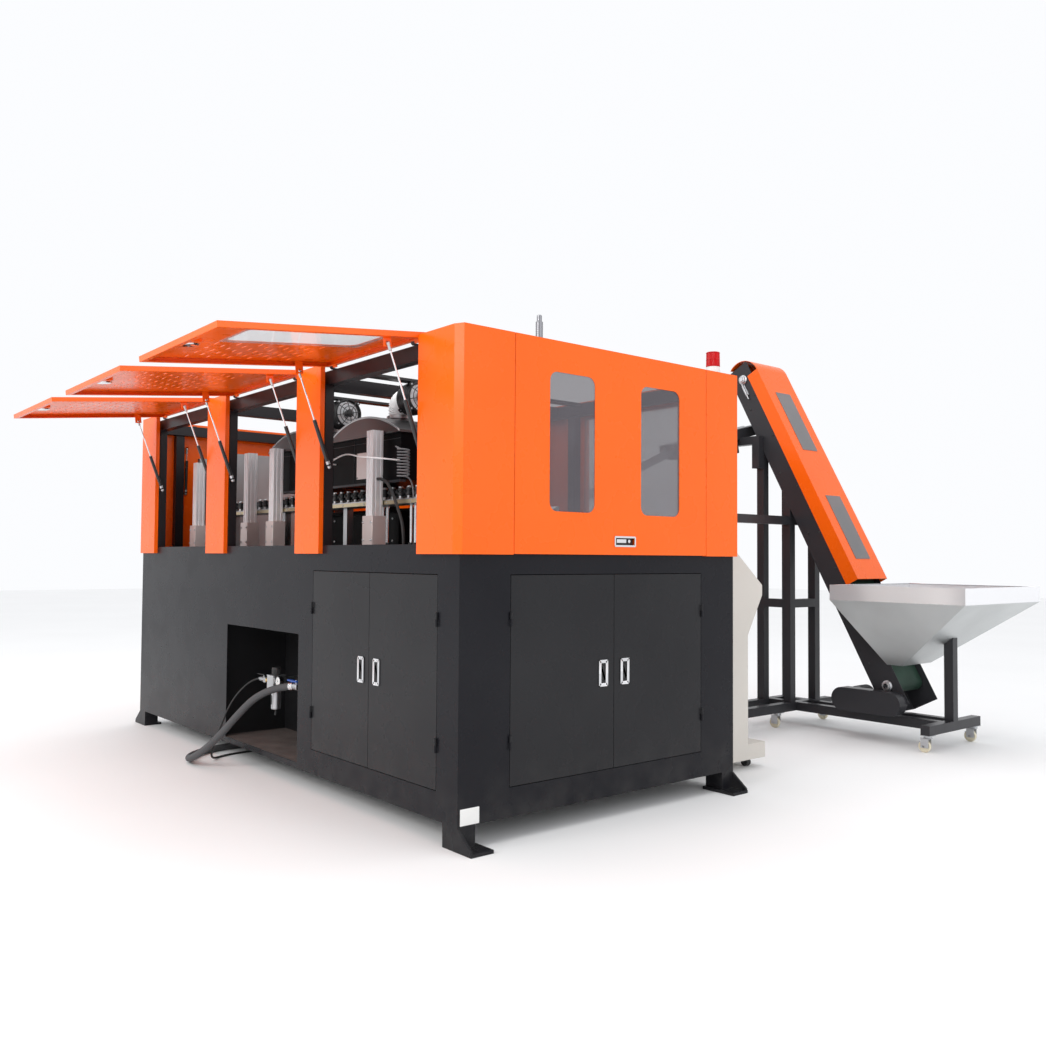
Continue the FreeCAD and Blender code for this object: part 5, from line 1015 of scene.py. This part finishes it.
for up in bowl["plates"]:
    addBox(bm, (-half, -half, -thick), (half, half, thick),
           Matrix.Translation(at(air["along"], air["across"], up)))
for start, end, radius, sides, finish in unions:
    addRod(bm, at(start, air["across"], air["level"]),
           at(end, air["across"], air["level"]), radius, sides, finish)
addRod(bm, at(tee["along"], air["across"], tee["low"]),
       at(tee["along"], air["across"], tee["high"]), tee["radius"], 12, 5)
addBox(bm, at(*tee["leverFrom"]), at(*tee["leverTo"]), None, 3)
piece("regulator_trim", bm, [zinc, chrome, whiteShell, blackPlastic, brass, machined],
      "machine", 0.0006)

ferrule = {"start": 1.670, "towards": (1.738, 0.072, 0.481), "nut": 0.0212,
           "nuts": ((1.609, 1.616), (1.662, 1.6695)),
           "outline": [(0.0205, -0.002), (0.0238, -0.001), (0.0238, 0.010),
                       (0.0222, 0.012), (0.0238, 0.014), (0.0238, 0.026),
                       (0.0208, 0.028)]}
bm = bmesh.new()
start = at(ferrule["start"], air["across"], air["level"])
addTurned(bm, ferrule["outline"], frameOf(start, at(*ferrule["towards"]) - start), 36)
for near, far in ferrule["nuts"]:
    addRod(bm, at(near, air["across"], air["level"]),
           at(far, air["across"], air["level"]), ferrule["nut"], 6)
piece("hose_ferrule", bm, [chrome], "machine", 0.0006)

cap = {"low": 0.5305, "ribs": 20, "rib": 0.0022, "ribOut": 0.0240,
       "ribLow": 0.004, "ribHigh": 0.030,
       "outline": [(0.0235, 0.0), (0.0246, 0.003), (0.0246, 0.030), (0.0225, 0.0405),
                   (0.0140, 0.0425), (0.0001, 0.0425)]}
bm = bmesh.new()
where = Matrix.Translation(at(air["along"], air["across"], cap["low"]))
addTurned(bm, cap["outline"], where, 40)
for rib in range(cap["ribs"]):
    turn = where @ Matrix.Rotation(rib * math.tau / cap["ribs"], 4, "Z")
    addRod(bm, turn @ Vector((cap["ribOut"], 0, cap["ribLow"])),
           turn @ Vector((cap["ribOut"], 0, cap["ribHigh"])), cap["rib"], 8)
piece("regulator_cap", bm, [blackPlastic], "knob", 0.0004)

lever = {"low": 0.513, "armLow": (-0.088, -0.0112, 0.0), "armHigh": (-0.020, 0.0112, 0.0085),
         "neckLow": (-0.024, -0.0090, 0.0), "neckHigh": (-0.008, 0.0090, 0.0085),
         "hub": [(0.0074, -0.0004), (0.0150, 0.0), (0.0150, 0.0086), (0.0120, 0.0105),
                 (0.0074, 0.0105)]}
bm = bmesh.new()
where = Matrix.Translation(at(air["valve"], air["across"], lever["low"]))
addBox(bm, lever["armLow"], lever["armHigh"], where)
addTurned(bm, lever["hub"], where, 24)
addBox(bm, lever["neckLow"], lever["neckHigh"], where)
piece("valve_lever", bm, [blue], "valve", 0.003)


print("elevator")
lift = {"head": (1.366, 2.558), "lean": 61.9, "near": 3.620, "far": 3.986,
        "cover": 0.145}
lean = math.radians(lift["lean"])
down = Vector((math.cos(lean), 0, -math.sin(lean)))
outward = Vector((math.sin(lean), 0, math.cos(lean)))
headSpot = at(lift["head"][0], 0, lift["head"][1])


def onBelt(x, across, z):
    spot = headSpot + down * x + outward * z
    return Vector((spot.x, across - machine["depth"] / 2, spot.z))


def beltFrame(x, across, z):
    spot = onBelt(x, across, z)
    return Matrix(((down.x, 0, outward.x, spot.x), (0, 1, 0, spot.y),
                   (down.z, 0, outward.z, spot.z), (0, 0, 0, 1)))


coverPane = {"width": 0.510, "height": 0.180, "corner": 0.006, "thick": 0.0028,
             "starts": (0.204, 1.100), "out": 0.0031}
bm = bmesh.new()
for start in coverPane["starts"]:
    addPlate(bm, coverPane, beltFrame(start + coverPane["width"] / 2,
                                      (lift["near"] + lift["far"]) / 2,
                                      lift["cover"] + coverPane["out"]))
sloped = piece("cover_panes", bm, [greyPane], "machine")
rearPane = {"start": 0.373, "end": 1.137, "low": 1.328, "high": 2.062, "thick": 0.004}
bm = bmesh.new()
addBox(bm, at(rearPane["end"], machine["depth"] - rearPane["thick"], rearPane["low"]),
       at(rearPane["start"], machine["depth"], rearPane["high"]))
rear = piece("rear_pane", bm, [clearPane], "machine")
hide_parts("fixed_windows")
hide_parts("fixed_windows")

troughScrew = {"spots": ((0.16, 0.030), (0.24, -0.050), (0.52, 0.028), (0.80, -0.050),
                         (0.96, 0.030), (1.30, -0.052), (1.34, 0.030), (1.62, 0.026),
                         (1.76, -0.050), (2.10, 0.028), (2.30, -0.05)),
               "outline": [(0.0075, 0.0), (0.0075, 0.002), (0.005, 0.0042),
                           (0.0001, 0.0046)]}
bm = bmesh.new()
for face, out in ((lift["near"], -1), (lift["far"], 1)):
    for x, z in troughScrew["spots"]:
        where = frameOf(onBelt(x, face, z), (0, out, 0))
        addTurned(bm, troughScrew["outline"], where, 14)
piece("trough_screws", bm, [blackPlastic], "machine")

bearing = {"places": (0.0, 2.48), "bolts": 4, "boltTurn": 0.6, "bolt": 0.0048,
           "boltOut": 0.031, "boltLow": 0.005, "boltHigh": 0.012,
           "outline": [(0.0165, 0.0), (0.036, 0.0), (0.036, 0.006), (0.028, 0.010),
                       (0.026, 0.020), (0.0165, 0.022)]}
tension = {"spot": (0.085, -0.020), "proud": 0.004, "low": (-0.045, -0.001, -0.014),
           "high": (0.045, 0.004, 0.014), "screwOut": 0.012, "screw": (0.030, 0.165),
           "screwRadius": 0.005, "nut": (0.120, 0.128), "nutRadius": 0.010}
bm = bmesh.new()
for x in bearing["places"]:
    hub = frameOf(onBelt(x, lift["near"], 0), (0, -1, 0), down)
    addTurned(bm, bearing["outline"], hub, 36)
    for bolt in range(bearing["bolts"]):
        angle = bolt * math.tau / bearing["bolts"] + bearing["boltTurn"]
        turn = hub @ Matrix.Rotation(angle, 4, "Z")
        addRod(bm, turn @ Vector((bearing["boltOut"], 0, bearing["boltLow"])),
               turn @ Vector((bearing["boltOut"], 0, bearing["boltHigh"])),
               bearing["bolt"], 6)
x, z = tension["spot"]
addBox(bm, tension["low"], tension["high"],
       beltFrame(x, lift["near"] - tension["proud"], z))
for part, radius, sides in (("screw", tension["screwRadius"], 12),
                            ("nut", tension["nutRadius"], 6)):
    start, end = [onBelt(x, lift["near"] - tension["screwOut"], z)
                  for x in tension[part]]
    addRod(bm, start, end, radius, sides)
piece("belt_bearings", bm, [zinc], "machine", 0.0005)

beltMotor = {"spot": (0.4825, 3.735, 0.2705), "fins": 9, "pitch": 0.013,
             "fin": [(0.0615, 0.0), (0.0635, 0.001), (0.0635, 0.004), (0.0615, 0.005)]}
sorterMotor = {"spot": (1.440, 2.900, 1.995), "roll": 13.5, "fins": 10, "pitch": 0.0135,
               "first": 0.512, "thick": 0.004, "half": 0.083, "low": -0.152,
               "high": -0.056, "capSpot": (0, 0.575, -0.172),
               "cap": [(0.0001, 0.0), (0.030, 0.0), (0.033, 0.004), (0.033, 0.020)]}
bm = bmesh.new()
along, across, up = beltMotor["spot"]
for fin in range(beltMotor["fins"]):
    where = frameOf(at(along, across + fin * beltMotor["pitch"], up), (0, 1, 0))
    addTurned(bm, beltMotor["fin"], where, 36)
sorter = (Matrix.Translation(at(*sorterMotor["spot"]))
          @ Matrix.Rotation(math.radians(sorterMotor["roll"]), 4, "X"))
for fin in range(sorterMotor["fins"]):
    low = sorterMotor["first"] + fin * sorterMotor["pitch"]
    addBox(bm, (-sorterMotor["half"], low, sorterMotor["low"]),
           (sorterMotor["half"], low + sorterMotor["thick"], sorterMotor["high"]), sorter)
addTurned(bm, sorterMotor["cap"], sorter @ shifted(*sorterMotor["capSpot"]), 28)
piece("motor_fins", bm, [standPaint], "machine")

hopper = {"near": 3.300, "far": 4.310, "front": -0.485, "back": 0.420, "rim": 1.035,
          "in": 0.0034, "hem": 0.0033}
bm = bmesh.new()
near, far = hopper["near"] + hopper["in"], hopper["far"] - hopper["in"]
front, back = hopper["front"] + hopper["in"], hopper["back"] - hopper["in"]
corners = [at(along, across, hopper["rim"] - hopper["in"]) for along, across in (
    (front, near), (back, near), (back, far), (front, far))]
for start, end in zip(corners, corners[1:] + corners[:1]):
    addRod(bm, start, end, hopper["hem"], 10)
piece("hopper_hem", bm, [chrome], "machine")


print("casters")
standCaster = {"spots": ((-0.140, 3.506), (-0.140, 4.101), (0.980, 3.506),
                         (0.980, 4.101)),
               "radius": 0.038, "half": 0.014, "top": 0.110, "trail": 0.0209,
               "plate": 0.0342, "plateThick": 0.004, "axle": 0.006, "fork": 0.006,
               "race": [(0.024, -0.004), (0.026, -0.012), (0.020, -0.018)],
               "crown": (-0.022, 0.020, -0.022, -0.017),
               "cheek": (-0.040, 0.012, -0.080, -0.018), "cheekOut": 0.0045,
               "cheekThick": 0.0015, "pedalLow": (-0.0545, -0.013, -0.050),
               "pedalHigh": (-0.040, 0.013, -0.046)}
consoleCaster = {"spots": ((0.310, 2.291), (0.720, 2.291), (0.310, 1.990),
                           (0.720, 1.990)),
                 "radius": 0.025, "top": 0.055, "trail": 0.01375, "plate": 0.0225,
                 "plateThick": 0.004, "apart": 0.011, "neckBack": 0.004,
                 "wheel": [(0.0001, -0.006), (0.018, -0.006), (0.0245, -0.005),
                           (0.025, -0.002), (0.025, 0.004), (0.0215, 0.0068),
                           (0.010, 0.0055), (0.0001, 0.0062)],
                 "neck": [(0.015, -0.004), (0.017, -0.020), (0.0125, -0.030)],
                 "webLow": (-0.024, -0.004, -0.044), "webHigh": (0.010, 0.004, -0.012)}


def addTopPlate(bm, caster, top):
    size = caster["plate"]
    addBox(bm, (-size, -size, -caster["plateThick"]), (size, size, 0.0), top)


def addStandCaster(bm, along, across):
    axle = at(along + standCaster["trail"], across, standCaster["radius"])
    half, rim = standCaster["half"], standCaster["radius"]
    addTurned(bm, [(0.010, -half), (0.026, -half), (0.030, -half + 0.004),
                   (0.0368, -half + 0.002), (rim, -half + 0.006), (rim, half - 0.006),
                   (0.0368, half - 0.002), (0.030, half - 0.004), (0.026, half),
                   (0.010, half)], frameOf(axle, (0, 1, 0)), 36, 1)
    wide = half + standCaster["fork"]
    addRod(bm, axle - Vector((0, wide, 0)), axle + Vector((0, wide, 0)),
           standCaster["axle"], 10)
    top = Matrix.Translation(at(along, across, standCaster["top"]))
    addTopPlate(bm, standCaster, top)
    addTurned(bm, standCaster["race"], top, 24)
    back, ahead, low, high = standCaster["crown"]
    addBox(bm, (back, -wide, low), (ahead, wide, high), top)
    back, ahead, low, high = standCaster["cheek"]
    for side in (-1, 1):
        middle = side * (half + standCaster["cheekOut"])
        addBox(bm, (back, middle - standCaster["cheekThick"], low),
               (ahead, middle + standCaster["cheekThick"], high), top)
    addBox(bm, standCaster["pedalLow"], standCaster["pedalHigh"], top)


def addConsoleCaster(bm, along, across):
    axle = at(along + consoleCaster["trail"], across, consoleCaster["radius"])
    for side in (-1, 1):
        where = frameOf(axle + Vector((0, side * consoleCaster["apart"], 0)), (0, side, 0))
        addTurned(bm, consoleCaster["wheel"], where, 32)
    top = Matrix.Translation(at(along, across, consoleCaster["top"]))
    addTopPlate(bm, consoleCaster, top)
    addTurned(bm, consoleCaster["neck"], top @ shifted(-consoleCaster["neckBack"], 0, 0),
              20)
    addBox(bm, consoleCaster["webLow"], consoleCaster["webHigh"], top)


bm = bmesh.new()
for along, across in standCaster["spots"]:
    addStandCaster(bm, along, across)
piece("brake_pedals", bm, [zinc, creamWheel], "machine", 0.0006)
bm = bmesh.new()
for along, across in consoleCaster["spots"]:
    addConsoleCaster(bm, along, across)
wheels = piece("caster_wheels", bm, [blackPlastic], "machine", 0.0005)
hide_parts("casters")


print("console and sticker")
console = {"start": 0.250, "end": 0.780, "nose": (2.350, 1.049), "crest": (2.112, 1.240),
           "barRise": 0.105, "barSide": 0.229, "bar": 0.006, "barProud": 0.008}
nose, crest = console["nose"], console["crest"]
upSlope = Vector((0, crest[0] - nose[0], crest[1] - nose[1])).normalized()
outSlope = Vector((0, upSlope.z, -upSlope.y))
panel = at((console["start"] + console["end"]) / 2, (nose[0] + crest[0]) / 2,
           (nose[1] + crest[1]) / 2)
where = frameOf(panel, outSlope, upSlope)
bm = bmesh.new()
rise, side, bar = console["barRise"], console["barSide"], console["bar"]
for level in (-rise, rise):
    addBox(bm, (-side - bar, level - bar, 0.0),
           (side + bar, level + bar, console["barProud"]), where)
for edge in (-side, side):
    addBox(bm, (edge - bar, -rise, 0.0), (edge + bar, rise, console["barProud"]), where)
piece("console_bars", bm, [machined], "machine", 0.001)

sticker = {"across": 0.061, "up": 0.138, "width": 0.098, "height": 0.068,
           "corner": 0.002, "thick": 0.0005, "proud": 0.0007}
bm = bmesh.new()
addPlate(bm, sticker, frameOf(at(-sticker["proud"], sticker["across"], sticker["up"]),
                              (1, 0, 0)))
piece("bare_sticker", bm, [whiteShell], "machine")


print("hoses")
supply = {"start": (1.670, 0.100, 0.490), "diameter": 0.040, "length": 1.514, "steps": (
    (0, 0, 0), (0.068, -0.028, -0.009), (0.136, -0.084, -0.033),
    (0.198, -0.132, -0.074), (0.252, -0.166, -0.128), (0.3, -0.198, -0.186),
    (0.34, -0.231, -0.244), (0.382, -0.262, -0.299), (0.429, -0.29, -0.348),
    (0.486, -0.312, -0.391), (0.554, -0.326, -0.427), (0.632, -0.326, -0.4535),
    (0.718, -0.305, -0.4675), (0.8, -0.252, -0.4697), (0.865, -0.17, -0.4697),
    (0.908, -0.07, -0.4697), (0.928, 0.045, -0.4697), (0.93, 0.165, -0.4697))}
drain = {"start": (2.100, 0.100, 0.490), "diameter": 0.012, "length": 1.013, "steps": (
    (0, 0, 0), (0.065, -0.003, -0.012), (0.125, -0.02, -0.042),
    (0.162, -0.055, -0.09), (0.17, -0.095, -0.145), (0.157, -0.135, -0.205),
    (0.146, -0.17, -0.272), (0.146, -0.198, -0.34), (0.164, -0.212, -0.405),
    (0.202, -0.203, -0.455), (0.252, -0.166, -0.4815), (0.295, -0.105, -0.4837),
    (0.322, -0.03, -0.4837), (0.334, 0.055, -0.4837), (0.332, 0.14, -0.4837))}
wire = {"start": (1.600, 0.2997, 1.710), "diameter": 0.008, "length": 0.826, "steps": (
    (0, 0, 0), (-0.002, -0.100, 0.002), (-0.110, -0.107, -0.010),
    (-0.225, -0.104, 0.022), (-0.320, -0.106, 0.028), (-0.435, -0.104, 0.004),
    (-0.550, -0.106, -0.008), (-0.655, -0.100, -0.020), (-0.657, 0, -0.022))}
conduit = {"start": (0.8027, 0.240, 1.2553), "diameter": 0.016, "length": 0.462,
           "steps": ((0, 0, 0), (0.001, 0, 0.090), (0.055, 0, 0.185),
                     (0.115, 0, 0.275), (0.182, 0, 0.338), (0.250, 0, 0.340))}
spiral = {"start": (0.932, 0.2997, 1.745), "diameter": 0.007, "length": 2.0,
          "middle": (0.812, 0.240), "radius": 0.030, "turns": 9.5, "perTurn": 12,
          "top": 1.732, "low": 1.592,
          "lead": ((0.915, 0.262, 1.752), (0.880, 0.236, 1.748)),
          "tail": ((0.783, 0.262, 1.578), (0.790, 0.281, 1.552), (0.799, 0.292, 1.510),
                   (0.800, 0.2930, 1.4655))}


def curl(coil):
    # Points of the curly lead, from the oven down its loops to the rail.
    route = [coil["start"], *coil["lead"]]
    count = round(coil["turns"] * coil["perTurn"])
    for step in range(count + 1):
        turn = math.tau * step / coil["perTurn"]
        route.append((coil["middle"][0] + coil["radius"] * math.cos(turn),
                      coil["middle"][1] - coil["radius"] * math.sin(turn),
                      coil["top"] + (coil["low"] - coil["top"]) * step / count))
    return [*route, *coil["tail"]]


spiral["steps"] = [tuple(a - b for a, b in zip(spot, spiral["start"]))
                   for spot in curl(spiral)]


def layHose(name, hose, material):
    curve = bpy.data.curves.new(name, "CURVE")
    curve.dimensions = "3D"
    route = curve.splines.new("NURBS")
    route.points.add(len(hose["steps"]) - 1)
    for point, step in zip(route.points, hose["steps"]):
        spot = at(*(a + b for a, b in zip(hose["start"], step)))
        point.co = (*spot, 1.0)
    route.order_u = 3
    route.use_endpoint_u = True
    route.resolution_u = 12
    curve.bevel_depth = hose["diameter"] / 2
    curve.bevel_resolution = 6
    curve.use_fill_caps = True
    curve.materials.append(material)
    laid = bpy.data.objects.new(name, curve)
    bpy.context.scene.collection.objects.link(laid)
    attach(laid, "machine")
    return laid


airHose = layHose("air_hose", supply, greyHose)
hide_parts("supply_hose")
at(*supply["start"])
airLine = layHose("air_line", drain, rubber)
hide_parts("drain_tube")
at(*drain["start"])
ovenWire = layHose("oven_wire", wire, white)
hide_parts("cables")
at(*wire["start"])
blackConduit = layHose("black_conduit", conduit, rubber)
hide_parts("cables")
at(*conduit["start"])
curlyLead = layHose("curly_lead", spiral, greyRubber)
at(*spiral["start"])
